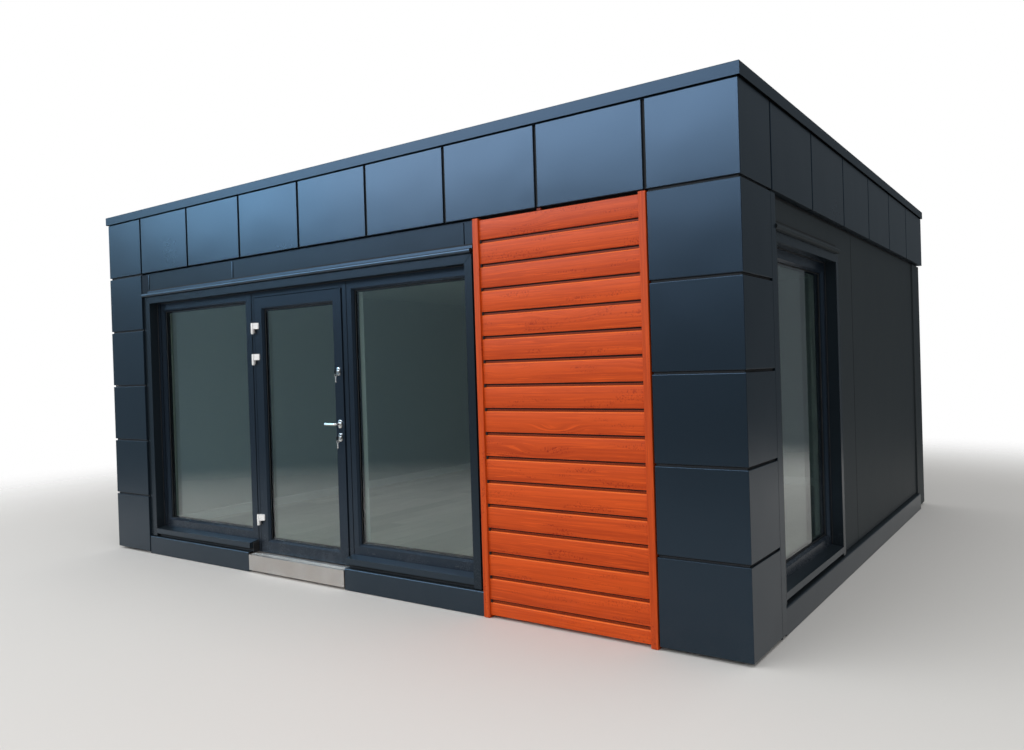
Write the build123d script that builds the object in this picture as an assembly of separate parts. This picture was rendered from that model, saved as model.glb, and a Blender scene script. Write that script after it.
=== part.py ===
from build123d import *
import os

# A flat-roofed site cabin on a steel chassis, in millimetres.
# The origin is the middle of the footprint at ground level.
# The glazed front faces -Y, +X is to its right and +Z is up.
# Most parts are laid out in a wall's own coordinates: u runs along the wall,
# v runs inwards from the face of the cladding and z is the height.

# Overall size
body_width = 6056.0
body_depth = 5536.0

# Cladding cassettes
cassette_depth = 50.0
cassette_sheet = 3.0
fold_bevel = 1.5
row_pitch = 500.0
row_count = 5
row_gap = 16.0
column_gap = 20.0
corner_front_leg = 524.0
corner_side_leg = 472.0
fascia_front_panels = 7
fascia_side_panels = 5
fascia_front_corner_leg = 496.0
fascia_rear_corner_leg = 876.0

# Base
packer_height = 20.0
packer_size = 120.0
packer_side_inset = 390.0
packer_columns = 4
chassis_height = 100.0
chassis_flange = 50.0
chassis_web = 6.0
joist_count = 9
joist_flange = 40.0
deck_thickness = 22.0
floor_thickness = 8.0

# Walls and ceiling
core_thickness = 150.0
lining_thickness = 12.5
board_gap = 1.0
wall_height = 2358.0
front_skin = 20.0
side_skin = 6.0
skin_gap = 8.0
skin_sheet_side = 2530.0
skirting_height = 90.0
skirting_thickness = 15.0

# Roof
roof_front_thickness = 180.0
roof_back_thickness = 140.0
membrane = 5.0
membrane_upturn = 150.0
parapet_thickness = 60.0
coping_face = 71.0
coping_inner_face = 50.0
coping_overhang = 15.0
coping_sheet = 3.0
coping_gap = 6.0
coping_inner_gap = 6.0
mitre_gap = 2.0

# Front opening, with a window, the door and a second window side by side
opening_left = 612.0
opening_head = 2253.0
frame_bottom = 243.0
left_window_width = 1344.0
lintel_first_joint = 592.0
lintel_joint_offset = 145.0
door_frame_width = 1100.0

# Side window
side_window_start = 635.0
side_window_width = 1341.0

# Casings, drip rails and sills around the openings
casing_sheet = 3.0
casing_width = 60.0
front_casing_left_width = 86.0
casing_setback = 20.0
casing_bottom = 166.0
drip_rail_gap = 1.0
drip_rail_nose = 30.0
drip_rail_plate = 26.0
drip_rail_plate_sheet = 6.0
drip_rail_reach = 60.0
drip_rail_wall = 2.0
side_rail_overhang = 24.0
sill_sheet = 4.0
sill_face = 42.0
sill_fall = 13.0
sill_underside = 188.0

# Plinth
plinth_top = 160.0
plinth_clearance = 4.0
plinth_setback = 5.0
plinth_sheet = 3.0
plinth_nosing = 9.0
plinth_end_gap = 6.0

# Corner trims
jamb_strip_gap = 6.0
jamb_strip_width = 77.0
jamb_strip_sheet = 3.0
rear_trim_leg = 374.0
rear_trim_setback = 30.0

# Timber feature panel
feature_width = 1200.0
feature_corner_gap = 8.0
feature_opening_gap = 93.0
feature_trim_width = 44.0
feature_trim_proud = 4.0
feature_trim_bottom = 3.0
feature_setback = 10.0
feature_top_gap = 12.0
board_pitch = 151.0
board_first_edge = 119.0
board_groove = 17.0
board_groove_depth = 10.0
board_slit = 6.0
board_slit_depth = 24.0
board_arris = 4.0

# Window and door frames
frame_setback = 100.0
frame_depth = 80.0
frame_side_face = 50.0
left_window_side_face = 76.0
frame_rail_face = 63.0
bead_width = 14.0
bead_depth = 16.0
glass_setback = 30.0
pane_thickness = 5.0
pane_spacing = 16.0
glass_clearance = 0.3
reveal_board = 8.0
reveal_nosing = 8.0
post_width = 56.0
post_depth = 50.0
post_offset = 8.0
post_rounding = 3.0

# Door
door_jamb_face = 37.0
door_head_face = 47.0
door_latch_jamb_face = 43.0
door_hinge_gap = 6.0
door_latch_gap = 9.0
door_head_gap = 6.0
door_stop_gap = 6.0
door_stop_overlap = 14.0
leaf_proud = 8.0
leaf_thickness = 60.0
leaf_floor_gap = 6.0
leaf_top_gap = 6.0
leaf_stile_face = 86.0
leaf_bottom_face = 86.0
leaf_top_face = 83.0

# Hinges
hinge_tops = [2000.0, 1750.0, 458.0]
hinge_offset = 3.0
hinge_forward = 21.0
hinge_radius = 16.0
hinge_height = 90.0
hinge_flag_height = 49.0
hinge_flag_reach = 74.0
hinge_lug_gap = 3.0
hinge_flag_thickness = 10.0
hinge_pin_radius = 5.0
hinge_pin_clearance = 0.3
hinge_knuckle_gap = 0.5

# Lever handle, roses and locks
lever_height = 1200.0
lever_edge_distance = 42.0
lever_length = 120.0
lever_radius = 9.0
lever_neck_radius = 10.0
lever_neck_length = 40.0
spindle_radius = 5.0
spindle_clearance = 0.3
rose_width = 36.0
rose_height = 62.0
rose_thickness = 9.0
rose_clearance = 0.3
lock_below_lever = 99.0
upper_lock_height = 1589.0
lock_radius = 8.5
lock_projection = 4.0
key_bow_radius = 12.0
key_thickness = 2.4
key_stem_length = 14.0
key_stem_width = 6.0

# Threshold
threshold_bottom = 20.0
threshold_face_top = 143.0
threshold_overhang = 6.0

# Levels that follow from the sizes above
base_level = packer_height
chassis_top = base_level + chassis_height
deck_top = chassis_top + deck_thickness
floor_level = deck_top + floor_thickness
wall_top = deck_top + wall_height
fascia_joint = base_level + row_count * row_pitch
fascia_bottom = fascia_joint + row_gap / 2
fascia_top = fascia_joint + row_pitch
coping_top = fascia_top + coping_gap + coping_face
parapet_top = coping_top - coping_sheet
ceiling_level = wall_top - lining_thickness

# Faces that follow from the sizes above
half_width = body_width / 2
half_depth = body_depth / 2
core_face = cassette_depth
core_back = core_face + core_thickness
lining_back = core_back + lining_thickness
core_half_width = half_width - core_face
core_half_depth = half_depth - core_face
room_half_width = half_width - core_back
room_half_depth = half_depth - core_back

# Front opening, worked out
feature_left = body_width - corner_front_leg - feature_corner_gap - feature_width
opening_right = feature_left - feature_opening_gap
left_window_right = opening_left + left_window_width
door_frame_right = left_window_right + door_frame_width
core_opening_head = opening_head + casing_sheet
frame_back = frame_setback + frame_depth
threshold_left = left_window_right - threshold_overhang
threshold_right = door_frame_right - 2 * threshold_overhang
left_sill_end = threshold_left - 2 * threshold_overhang
right_sill_start = door_frame_right - threshold_overhang

# Door leaf, worked out
leaf_left = left_window_right + door_jamb_face + door_hinge_gap
leaf_right = door_frame_right - door_latch_jamb_face - door_latch_gap
leaf_bottom = floor_level + leaf_floor_gap
leaf_top = opening_head - door_head_face - leaf_top_gap
leaf_face = frame_setback - leaf_proud
leaf_back = leaf_face + leaf_thickness
hinge_u = leaf_left - hinge_offset
hinge_v = leaf_face - hinge_forward
lever_u = leaf_right - lever_edge_distance
lower_lock_height = lever_height - lock_below_lever


def block(x_span, y_span, z_span):
    """A plain slab between three pairs of faces."""
    spans = (x_span, y_span, z_span)
    sizes = [high - low for low, high in spans]
    centre = [(high + low) / 2 for low, high in spans]
    return Pos(*centre) * Box(*sizes)


def bar_along_u(outline, u_span):
    """A bar of constant section, from (v, z) corners or a sketch of them."""
    section = outline if isinstance(outline, Sketch) else Polygon(*outline, align=None)
    start = Plane(origin=(u_span[0], 0, 0), x_dir=(0, 1, 0), z_dir=(1, 0, 0))
    return extrude(start * section, amount=u_span[1] - u_span[0], dir=(1, 0, 0))


def bar_along_z(outline, z_span):
    """An upright of constant section, from (u, v) corners."""
    start = Plane(origin=(0, 0, z_span[0]))
    section = start * Polygon(*outline, align=None)
    return extrude(section, amount=z_span[1] - z_span[0], dir=(0, 0, 1))


def pin_along_v(u, z, radius, v_span):
    """A round pin or bore at right angles to a wall."""
    middle = (v_span[0] + v_span[1]) / 2
    return Pos(u, middle, z) * Rot(90, 0, 0) * Cylinder(radius, v_span[1] - v_span[0])


def on_front(shape):
    """From the front wall's coordinates to the cabin's."""
    return Pos(-half_width, -half_depth, 0) * shape


def on_right(shape):
    """From the right wall's coordinates, measured from the front corner."""
    return Pos(half_width, -half_depth, 0) * Rot(0, 0, 90) * shape


def mirrored(shape):
    """The same piece on the left wall."""
    return mirror(shape, about=Plane.YZ)


def as_solids(shapes):
    """All the solids of a list of shapes, flattened."""
    found = []
    for shape in shapes:
        found.extend(shape.solids())
    return found


def save(name, shapes):
    """Write one named piece, or a set of like pieces, as a STEP file."""
    solids = as_solids(shapes if isinstance(shapes, list) else [shapes])
    body = solids[0] if len(solids) == 1 else Compound(children=solids)
    body.label = name
    export_step(body, f"parts/{name}.step")


# Base

def support_packers():
    """Flat pads under the rails and the middle joist that keep the frame off the ground."""
    half = packer_size / 2
    reach = core_half_width - packer_side_inset
    step = 2 * reach / (packer_columns - 1)
    places = []
    for y in (half - core_half_depth, core_half_depth - half):
        for column in range(packer_columns):
            places.append((-reach + column * step, y, packer_height))
    for x in (half - core_half_width, 0, core_half_width - half):
        places.append((x, 0, packer_height + chassis_web))
    return [block((x - half, x + half), (y - half, y + half), (0, height)) for x, y, height in places]


def channel_outline(height, flange):
    """A channel section with its web on v = 0 and its flanges towards +v."""
    return [(0, 0), (flange, 0), (flange, chassis_web), (chassis_web, chassis_web),
            (chassis_web, height - chassis_web), (flange, height - chassis_web),
            (flange, height), (0, height)]


def chassis_rails():
    """Front and back channels, with a shallower channel along each side."""
    front = Pos(0, -core_half_depth, base_level) * bar_along_u(
        channel_outline(chassis_height, chassis_flange), (-core_half_width, core_half_width))
    back = mirror(front, about=Plane.XZ)
    inner_height = chassis_height - 2 * chassis_web
    side_reach = core_half_depth - chassis_web
    side = bar_along_u(channel_outline(inner_height, joist_flange), (-side_reach, side_reach))
    right = Pos(core_half_width, 0, base_level + chassis_web) * Rot(0, 0, 90) * side
    return [front, back, right, mirrored(right)]


def chassis_joists():
    """Floor joists that fit between the flanges of the front and back rails."""
    inner_height = chassis_height - 2 * chassis_web
    reach = core_half_depth - chassis_web
    joist = Rot(0, 0, 90) * bar_along_u(channel_outline(inner_height, joist_flange), (-reach, reach))
    step = 2 * core_half_width / (joist_count + 1)
    joists = []
    for number in range(1, joist_count + 1):
        x = -core_half_width + number * step
        joists.append(Pos(x, 0, base_level + chassis_web) * joist)
    return joists


def floor_deck():
    """Structural deck over the whole chassis."""
    return block((-core_half_width, core_half_width), (-core_half_depth, core_half_depth),
                 (chassis_top, deck_top))


def floor_finish():
    """Floor covering between the walls, with a tongue in the doorway."""
    room = block((-room_half_width, room_half_width), (-room_half_depth, room_half_depth),
                 (deck_top, floor_level))
    tongue = on_front(block((left_window_right, door_frame_right), (frame_back, core_back),
                            (deck_top, floor_level)))
    return room + tongue


# Structural walls

def wall_piece(u_span, z_span):
    """A rectangular stretch of wall core."""
    return block(u_span, (core_face, core_back), z_span)


def upstand(u_span):
    """Low wall under a window, cut down in front of the frame for the sill."""
    sill_back = frame_bottom - sill_sheet
    sill_drop = sill_fall * (frame_setback - core_face) / (frame_setback - casing_setback)
    outline = [(core_face, deck_top), (core_face, sill_back - sill_drop - sill_sheet),
               (frame_setback, sill_back - sill_sheet), (frame_setback, frame_bottom),
               (core_back, frame_bottom), (core_back, deck_top)]
    return bar_along_u(outline, u_span)


def front_wall_left():
    """Wall from the left corner to the glazed opening."""
    return on_front(wall_piece((core_face, opening_left - casing_sheet), (deck_top, wall_top)))


def front_wall_right():
    """Wall behind the timber panel, up to the right corner."""
    span = (opening_right + casing_sheet, body_width - core_face)
    return on_front(wall_piece(span, (deck_top, wall_top)))


def front_wall_head():
    """Lintel over the windows and door."""
    span = (opening_left - casing_sheet, opening_right + casing_sheet)
    return on_front(wall_piece(span, (core_opening_head, wall_top)))


def front_wall_upstands():
    """Low walls under the two front windows."""
    left = upstand((opening_left, threshold_left))
    right = upstand((door_frame_right, opening_right))
    return [on_front(left), on_front(right)]


side_opening = (side_window_start - casing_sheet, side_window_start + side_window_width + casing_sheet)


def right_wall_front():
    """Side wall between the front wall and the side window."""
    return on_right(wall_piece((core_back, side_opening[0]), (deck_top, wall_top)))


def right_wall_rear():
    """Side wall behind the side window."""
    return on_right(wall_piece((side_opening[1], body_depth - core_back), (deck_top, wall_top)))


def right_wall_head():
    """Lintel over the side window."""
    return on_right(wall_piece(side_opening, (core_opening_head, wall_top)))


def right_wall_upstand():
    """Low wall under the side window."""
    return on_right(upstand((side_window_start, side_window_start + side_window_width)))


def left_wall():
    """Plain side wall."""
    wall = wall_piece((core_back, body_depth - core_back), (deck_top, wall_top))
    return mirrored(on_right(wall))


def back_wall():
    """Plain back wall, from corner to corner."""
    wall = wall_piece((core_face, body_width - core_face), (deck_top, wall_top))
    return mirror(on_front(wall), about=Plane.XZ)


# Inside faces

def wall_linings():
    """Lining boards on the four walls, cut round the openings."""
    z_span = (floor_level, ceiling_level)
    front = block((core_back, body_width - core_back), (core_back, lining_back), z_span)
    front -= block((opening_left - casing_sheet, opening_right + casing_sheet),
                   (core_back, lining_back), (frame_bottom, core_opening_head))
    front -= block((left_window_right, door_frame_right), (core_back, lining_back),
                   (floor_level, core_opening_head))
    side_span = (lining_back + board_gap, body_depth - lining_back - board_gap)
    left = block(side_span, (core_back, lining_back), z_span)
    right = left - block(side_opening, (core_back, lining_back), (frame_bottom, core_opening_head))
    back = mirror(on_front(block((core_back, body_width - core_back), (core_back, lining_back),
                                 z_span)), about=Plane.XZ)
    return [on_front(front), on_right(right), mirrored(on_right(left)), back]


def ceiling_lining():
    """Ceiling boards under the roof."""
    return block((-room_half_width, room_half_width), (-room_half_depth, room_half_depth),
                 (ceiling_level, wall_top))


def skirting():
    """Skirting along the foot of the linings, clear of the openings."""
    z_span = (floor_level, floor_level + skirting_height)
    v_span = (lining_back, lining_back + skirting_thickness)
    end = lining_back + skirting_thickness + board_gap
    front_left = block((end, opening_left - casing_sheet), v_span, z_span)
    front_right = block((opening_right + casing_sheet, body_width - end), v_span, z_span)
    back = mirror(on_front(block((end, body_width - end), v_span, z_span)), about=Plane.XZ)
    side_end = lining_back
    left = block((side_end, body_depth - side_end), v_span, z_span)
    right = left - block(side_opening, v_span, z_span)
    return [on_front(front_left), on_front(front_right), back, on_right(right), mirrored(on_right(left))]


def opening_reveals(u_span, sills):
    """White boards round the inside of an opening: head, jambs and sill boards."""
    v_span = (frame_back, lining_back + reveal_nosing)
    low, high = u_span
    head = block(u_span, v_span, (core_opening_head - reveal_board, core_opening_head))
    z_span = (frame_bottom + reveal_board, core_opening_head - reveal_board)
    first = block((low, low + reveal_board), v_span, z_span)
    last = block((high - reveal_board, high), v_span, z_span)
    boards = [block(span, v_span, (frame_bottom, frame_bottom + reveal_board)) for span in sills]
    return head + first + last + boards


def window_reveals():
    """Inside linings of the front opening and of the side window."""
    front_span = (opening_left - casing_sheet, opening_right + casing_sheet)
    front_sills = [(front_span[0], left_window_right - board_gap),
                   (door_frame_right - post_offset + post_width + board_gap, front_span[1])]
    front = opening_reveals(front_span, front_sills)
    side = opening_reveals(side_opening, [side_opening])
    return [on_front(front), on_right(side)]


def door_post():
    """White cased post behind the joint of the door and the right window."""
    u_span = (door_frame_right - post_offset, door_frame_right - post_offset + post_width)
    post = block(u_span, (frame_back, frame_back + post_depth),
                 (floor_level, core_opening_head - reveal_board))
    notch = block(u_span, (frame_back, lining_back), (floor_level, frame_bottom))
    clear = block((door_frame_right, u_span[1]), (frame_back, lining_back), (floor_level, frame_bottom))
    post -= notch & clear
    return on_front(fillet(post.edges().filter_by(Axis.Z).sort_by(Axis.Y)[-2:], post_rounding))


# Roof

def roof_outline(lift, drop):
    """Side view of the roof slab: falls gently from front to back."""
    inner = core_half_depth - parapet_thickness
    return [(-inner, wall_top + roof_front_thickness + lift), (inner, wall_top + roof_back_thickness + lift),
            (inner, wall_top + drop), (-inner, wall_top + drop)]


def roof_deck():
    """Insulated roof slab inside the parapet."""
    reach = core_half_width - parapet_thickness
    return bar_along_u(roof_outline(0, 0), (-reach, reach))


def roof_membrane():
    """Waterproof sheet that turns up against the parapet."""
    reach = core_half_width - parapet_thickness
    inner = core_half_depth - parapet_thickness
    front_level = wall_top + roof_front_thickness
    back_level = wall_top + roof_back_thickness
    top = front_level + membrane_upturn
    tray = block((-reach, reach), (-inner, inner), (back_level, top))
    tray -= bar_along_u(roof_outline(0, 0), (-reach, reach))
    hollow = [(-inner + membrane, top), (inner - membrane, top),
              (inner - membrane, back_level + membrane),
              (-inner + membrane, front_level + membrane)]
    return tray - bar_along_u(hollow, (-reach + membrane, reach - membrane))


def parapet():
    """Upstand round the roof that carries the fascia and the coping."""
    ring = block((-core_half_width, core_half_width), (-core_half_depth, core_half_depth),
                 (wall_top, parapet_top))
    inner_x = core_half_width - parapet_thickness
    inner_y = core_half_depth - parapet_thickness
    return ring - block((-inner_x, inner_x), (-inner_y, inner_y), (wall_top, parapet_top))


def coping():
    """Pressed metal capping in four mitred lengths."""
    outer_x = half_width + coping_overhang
    outer_y = half_depth + coping_overhang
    inner_x = core_half_width - parapet_thickness - coping_inner_gap - coping_sheet
    inner_y = core_half_depth - parapet_thickness - coping_inner_gap - coping_sheet
    low = coping_top - coping_face
    ring = block((-outer_x, outer_x), (-outer_y, outer_y), (low, coping_top))
    ring -= block((-inner_x, inner_x), (-inner_y, inner_y), (low, coping_top))
    hollow = block((-outer_x + coping_sheet, outer_x - coping_sheet),
                   (-outer_y + coping_sheet, outer_y - coping_sheet), (low, parapet_top))
    leg_x = inner_x + coping_sheet
    leg_y = inner_y + coping_sheet
    hollow -= block((-leg_x, leg_x), (-leg_y, leg_y), (low, parapet_top))
    ring -= hollow
    ring -= block((-leg_x, leg_x), (-leg_y, leg_y), (low, coping_top - coping_inner_face))
    cut_length = 2 * (outer_x - inner_x) + 2 * coping_face
    for side_x in (-1, 1):
        for side_y in (-1, 1):
            corner = Pos(side_x * (outer_x + inner_x) / 2, side_y * (outer_y + inner_y) / 2, coping_top)
            ring -= corner * Rot(0, 0, 45 * side_x * side_y) * Box(cut_length, mitre_gap, 3 * coping_face)
    return ring


# Cladding cassettes

def cassette(u_span, z_span):
    """A folded tray with a crisp bevelled face, open at the back."""
    tray = block(u_span, (0, cassette_depth), z_span)
    tray -= block((u_span[0] + cassette_sheet, u_span[1] - cassette_sheet),
                  (cassette_sheet, cassette_depth),
                  (z_span[0] + cassette_sheet, z_span[1] - cassette_sheet))
    return chamfer(tray.edges().filter_by_position(Axis.Y, -0.1, 0.1), fold_bevel)


def corner_cassette(front_leg, side_leg, z_span):
    """A folded tray that wraps the front right corner."""
    outline = [(0, 0), (0, side_leg), (-cassette_depth, side_leg),
               (-cassette_depth, cassette_depth), (-front_leg, cassette_depth), (-front_leg, 0)]
    hollow = [(-cassette_sheet, cassette_sheet), (-cassette_sheet, side_leg - cassette_sheet),
              (-cassette_depth, side_leg - cassette_sheet), (-cassette_depth, cassette_depth),
              (cassette_sheet - front_leg, cassette_depth), (cassette_sheet - front_leg, cassette_sheet)]
    tray = bar_along_z(outline, z_span)
    tray = chamfer(tray.edges().group_by(Axis.Z)[-1].filter_by_position(Axis.Y, -0.1, 0.1), fold_bevel)
    tray -= bar_along_z(hollow, (z_span[0] + cassette_sheet, z_span[1] - cassette_sheet))
    return Pos(half_width, -half_depth, 0) * tray


def corner_rows():
    """The rows of corner cassettes, from the base up to the fascia."""
    rows = []
    for row in range(row_count):
        low = base_level + row * row_pitch + (row_gap / 2 if row else 0)
        high = base_level + (row + 1) * row_pitch - row_gap / 2
        rows.append(corner_cassette(corner_front_leg, corner_side_leg, (low, high)))
    return rows


def fascia_columns(first, last, count):
    """Spans of equal panels between two end joints."""
    pitch = (last - first) / count
    return [(first + number * pitch + column_gap / 2, first + (number + 1) * pitch - column_gap / 2)
            for number in range(count)]


def front_fascia():
    """Top row of cassettes along the front."""
    joint = corner_front_leg + column_gap / 2
    spans = fascia_columns(joint, body_width - joint, fascia_front_panels)
    return [on_front(cassette(span, (fascia_bottom, fascia_top))) for span in spans]


def back_fascia():
    """Top row of cassettes along the back."""
    return [mirror(panel, about=Plane.XZ) for panel in front_fascia()]


def right_fascia():
    """Top row of cassettes along the right side."""
    first = fascia_front_corner_leg + column_gap / 2
    last = body_depth - fascia_rear_corner_leg - column_gap / 2
    spans = fascia_columns(first, last, fascia_side_panels)
    return [on_right(cassette(span, (fascia_bottom, fascia_top))) for span in spans]


def left_fascia():
    """Top row of cassettes along the left side."""
    return [mirrored(panel) for panel in right_fascia()]


def corner_fascia():
    """Top corner cassettes, longer round the back corners."""
    z_span = (fascia_bottom, fascia_top)
    front = corner_cassette(corner_front_leg, fascia_front_corner_leg, z_span)
    rear = mirror(corner_cassette(corner_front_leg, fascia_rear_corner_leg, z_span), about=Plane.XZ)
    return [front, mirrored(front), rear, mirrored(rear)]


# Flat outer panels and corner trims

side_panel_start = corner_side_leg + jamb_strip_gap + jamb_strip_width
rear_trim_start = body_depth - rear_trim_setback - rear_trim_leg
panel_bottom = plinth_top + skin_gap
panel_top = fascia_joint - row_gap / 2
drip_rail_bottom = opening_head + casing_width + drip_rail_gap
drip_rail_top = drip_rail_bottom + drip_rail_nose + drip_rail_plate
head_panel_bottom = drip_rail_top + board_gap
side_rail_end = side_window_start + side_window_width + side_rail_overhang


def flat_panels(spans, skin, z_span):
    """Smooth panels side by side, on the outside of the core."""
    return [block(span, (core_face - skin, core_face), z_span) for span in spans]


def right_wall_panels():
    """Flat panels on the right wall, cut round the window casing."""
    spans = [(side_panel_start, skin_sheet_side - skin_gap / 2),
             (skin_sheet_side + skin_gap / 2, rear_trim_start)]
    panels = flat_panels(spans, side_skin, (panel_bottom, panel_top))
    low = side_window_start - casing_width
    high = side_window_start + side_window_width + casing_width
    panels[0] -= block((low, high), (0, core_face), (casing_bottom, drip_rail_bottom))
    panels[0] -= block((side_panel_start, side_rail_end + board_gap), (0, core_face),
                       (drip_rail_bottom - board_gap, head_panel_bottom))
    return [on_right(panel) for panel in panels]


def left_wall_panels():
    """Flat panels on the plain left wall."""
    spans = [(side_panel_start, skin_sheet_side - skin_gap / 2),
             (skin_sheet_side + skin_gap / 2, rear_trim_start)]
    panels = flat_panels(spans, side_skin, (panel_bottom, panel_top))
    return [mirrored(on_right(panel)) for panel in panels]


def back_wall_panels():
    """Flat panels on the plain back wall."""
    start = rear_trim_setback + rear_trim_leg
    spans = [(start, half_width - skin_gap / 2), (half_width + skin_gap / 2, body_width - start)]
    panels = flat_panels(spans, side_skin, (panel_bottom, panel_top))
    return [mirror(on_front(panel), about=Plane.XZ) for panel in panels]


def front_wall_panels():
    """Flat band over the openings, and the narrow strip beside the timber panel."""
    low = corner_front_leg + jamb_strip_gap
    high = feature_left - jamb_strip_gap
    joints = [low, lintel_first_joint, left_window_right - lintel_joint_offset, opening_right, high]
    spans = []
    for first, second in zip(joints, joints[1:]):
        spans.append((first + (skin_gap / 2 if first > low else 0),
                      second - (skin_gap / 2 if second < high else 0)))
    band = flat_panels(spans, front_skin, (head_panel_bottom, panel_top))
    strip = flat_panels([(opening_right + casing_width + jamb_strip_gap, high)], front_skin,
                        (panel_bottom, head_panel_bottom - board_gap))
    return [on_front(panel) for panel in band + strip]


def corner_jamb_strips():
    """Upright strips that close the front corner cassettes on both sides."""
    low = corner_side_leg + jamb_strip_gap
    high = low + jamb_strip_width
    sheet = jamb_strip_sheet
    outline = [(low, 0), (high, 0), (high, core_face), (high - sheet, core_face), (high - sheet, sheet),
               (low + sheet, sheet), (low + sheet, core_face), (low, core_face)]
    strip = on_right(bar_along_z(outline, (base_level, panel_top)))
    return [strip, mirrored(strip)]


def rear_corner_trims():
    """Wide corner trims at the back, a little proud of the flat panels."""
    outer = body_depth - rear_trim_setback
    inner = body_depth - core_face
    start = rear_trim_start
    face = rear_trim_setback
    far = rear_trim_setback + rear_trim_leg
    outline = [(start, face), (outer, face), (outer, far), (inner, far), (inner, core_face),
               (start, core_face)]
    trim = on_right(bar_along_z(outline, (base_level, panel_top)))
    return [trim, mirrored(trim)]


# Casings, drip rails, sills and plinth

def casing(u_span, first_width):
    """Folded casing round the head and jambs of an opening."""
    low, high = u_span
    width = casing_width
    start = low - first_width
    sheet = casing_sheet
    face_v = (casing_setback, casing_setback + sheet)
    plate = block((start, high + width), face_v, (casing_bottom, opening_head + width))
    plate += block((low - sheet, high + sheet), (casing_setback, frame_setback),
                   (casing_bottom, opening_head + sheet))
    rim = block((start, high + width), (casing_setback, core_face), (casing_bottom, opening_head + width))
    rim -= block((start + sheet, high + width - sheet), (casing_setback, core_face),
                 (casing_bottom, opening_head + width - sheet))
    hole = block((low, high), (casing_setback, frame_setback), (casing_bottom, opening_head))
    return plate + rim - hole


def front_casing():
    """Casing round the windows and the door, with a wider leg at the left."""
    return on_front(casing((opening_left, opening_right), front_casing_left_width))


def side_casing():
    """Casing round the side window."""
    return on_right(casing((side_window_start, side_window_start + side_window_width), casing_width))


def drip_rail(u_span):
    """Rounded hollow hood over an opening, open at its ends."""
    radius = drip_rail_nose / 2
    front = core_face - drip_rail_reach + radius
    middle = drip_rail_bottom + radius
    outline = Pos((front + core_face) / 2, middle) * Rectangle(core_face - front, 2 * radius)
    outline += Pos(front, middle) * Circle(radius)
    plate_v = core_face - front_skin - drip_rail_plate_sheet / 2
    plate_middle = drip_rail_bottom + drip_rail_nose + drip_rail_plate / 2
    outline += Pos(plate_v, plate_middle) * Rectangle(drip_rail_plate_sheet, drip_rail_plate)
    inner = radius - drip_rail_wall
    hollow = Pos((front + core_face - drip_rail_wall) / 2, middle) * Rectangle(
        core_face - drip_rail_wall - front, 2 * inner)
    hollow += Pos(front, middle) * Circle(inner)
    return bar_along_u(outline - hollow, u_span)


def front_drip_rail():
    """Hood over the windows and door."""
    low = corner_front_leg + jamb_strip_gap
    return on_front(drip_rail((low, opening_right + casing_width + jamb_strip_gap)))


def side_drip_rail():
    """Hood over the side window."""
    return on_right(drip_rail((side_panel_start, side_rail_end)))


def sill(u_span):
    """Bent metal sill that falls outwards from the frame, with closed ends."""
    face = casing_setback
    sheet = sill_sheet
    lip = sill_underside + sill_face
    outline = [(face, sill_underside), (face, lip), (frame_setback, lip + sill_fall),
               (frame_setback, lip + sill_fall - sheet), (face + sheet, lip - sheet),
               (face + sheet, sill_underside + sheet), (core_face, sill_underside + sheet),
               (core_face, sill_underside)]
    bend = lip + sill_fall * (core_face - face) / (frame_setback - face)
    end = [(face, sill_underside), (face, lip), (core_face, bend), (core_face, sill_underside)]
    bar = bar_along_u(outline, u_span)
    bar += bar_along_u(end, (u_span[0], u_span[0] + sheet))
    return bar + bar_along_u(end, (u_span[1] - sheet, u_span[1]))


def window_sills():
    """Sills of the two front windows and of the side window."""
    left = sill((opening_left, left_sill_end))
    right = sill((right_sill_start, opening_right))
    side = sill((side_window_start, side_window_start + side_window_width))
    return [on_front(left), on_front(right), on_right(side)]


def plinth(u_span):
    """Folded plinth band with a rounded ledge along its top."""
    face = plinth_setback
    sheet = plinth_sheet
    low = plinth_clearance
    outline = [(face, low), (core_face, low), (core_face, low + sheet), (face + sheet, low + sheet),
               (face + sheet, plinth_top - plinth_nosing), (face + plinth_nosing, plinth_top - sheet),
               (core_face, plinth_top - sheet), (core_face, plinth_top), (face, plinth_top)]
    band = bar_along_u(outline, u_span)
    edge = band.edges().filter_by(Axis.X).sort_by(Axis.Y)[:2].sort_by(Axis.Z)[-1:]
    return fillet(edge, plinth_nosing)


def plinth_bands():
    """Plinth on all four sides, stopped at the corners and the doorway."""
    left = plinth((corner_front_leg + jamb_strip_gap, left_sill_end))
    right = plinth((right_sill_start, feature_left - plinth_end_gap))
    side = on_right(plinth((side_panel_start + plinth_end_gap, rear_trim_start - plinth_end_gap)))
    start = rear_trim_setback + rear_trim_leg + plinth_end_gap
    back = mirror(on_front(plinth((start, body_width - start))), about=Plane.XZ)
    return [on_front(left), on_front(right), side, mirrored(side), back]


def door_threshold():
    """Folded metal threshold that runs from the face back under the door."""
    outline = [(0, threshold_bottom), (0, threshold_face_top), (leaf_face, floor_level),
               (frame_back, floor_level), (frame_back, deck_top), (core_face, deck_top),
               (core_face, threshold_bottom)]
    return on_front(bar_along_u(outline, (threshold_left, threshold_right)))


# Timber feature panel

def feature_boards():
    """Horizontal boards with eased top edges, a rebated groove and a dark slit under each."""
    face = feature_setback
    points = [(core_face, base_level), (face, base_level)]
    edge = board_first_edge
    panel_head = fascia_joint - feature_top_gap
    while edge < panel_head:
        top = edge - board_groove
        points.append((face, top - board_arris))
        points.append((face + board_arris, top))
        points.append((face + board_groove_depth, top))
        points.append((face + board_groove_depth, edge - board_slit))
        points.append((face + board_slit_depth, edge - board_slit))
        points.append((face + board_slit_depth, edge))
        points.append((face, edge))
        edge += board_pitch
    points.append((face, panel_head))
    points.append((core_face, panel_head))
    inset = feature_trim_width
    span = (feature_left + inset, feature_left + feature_width - inset)
    return on_front(bar_along_u(points, span))


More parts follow.
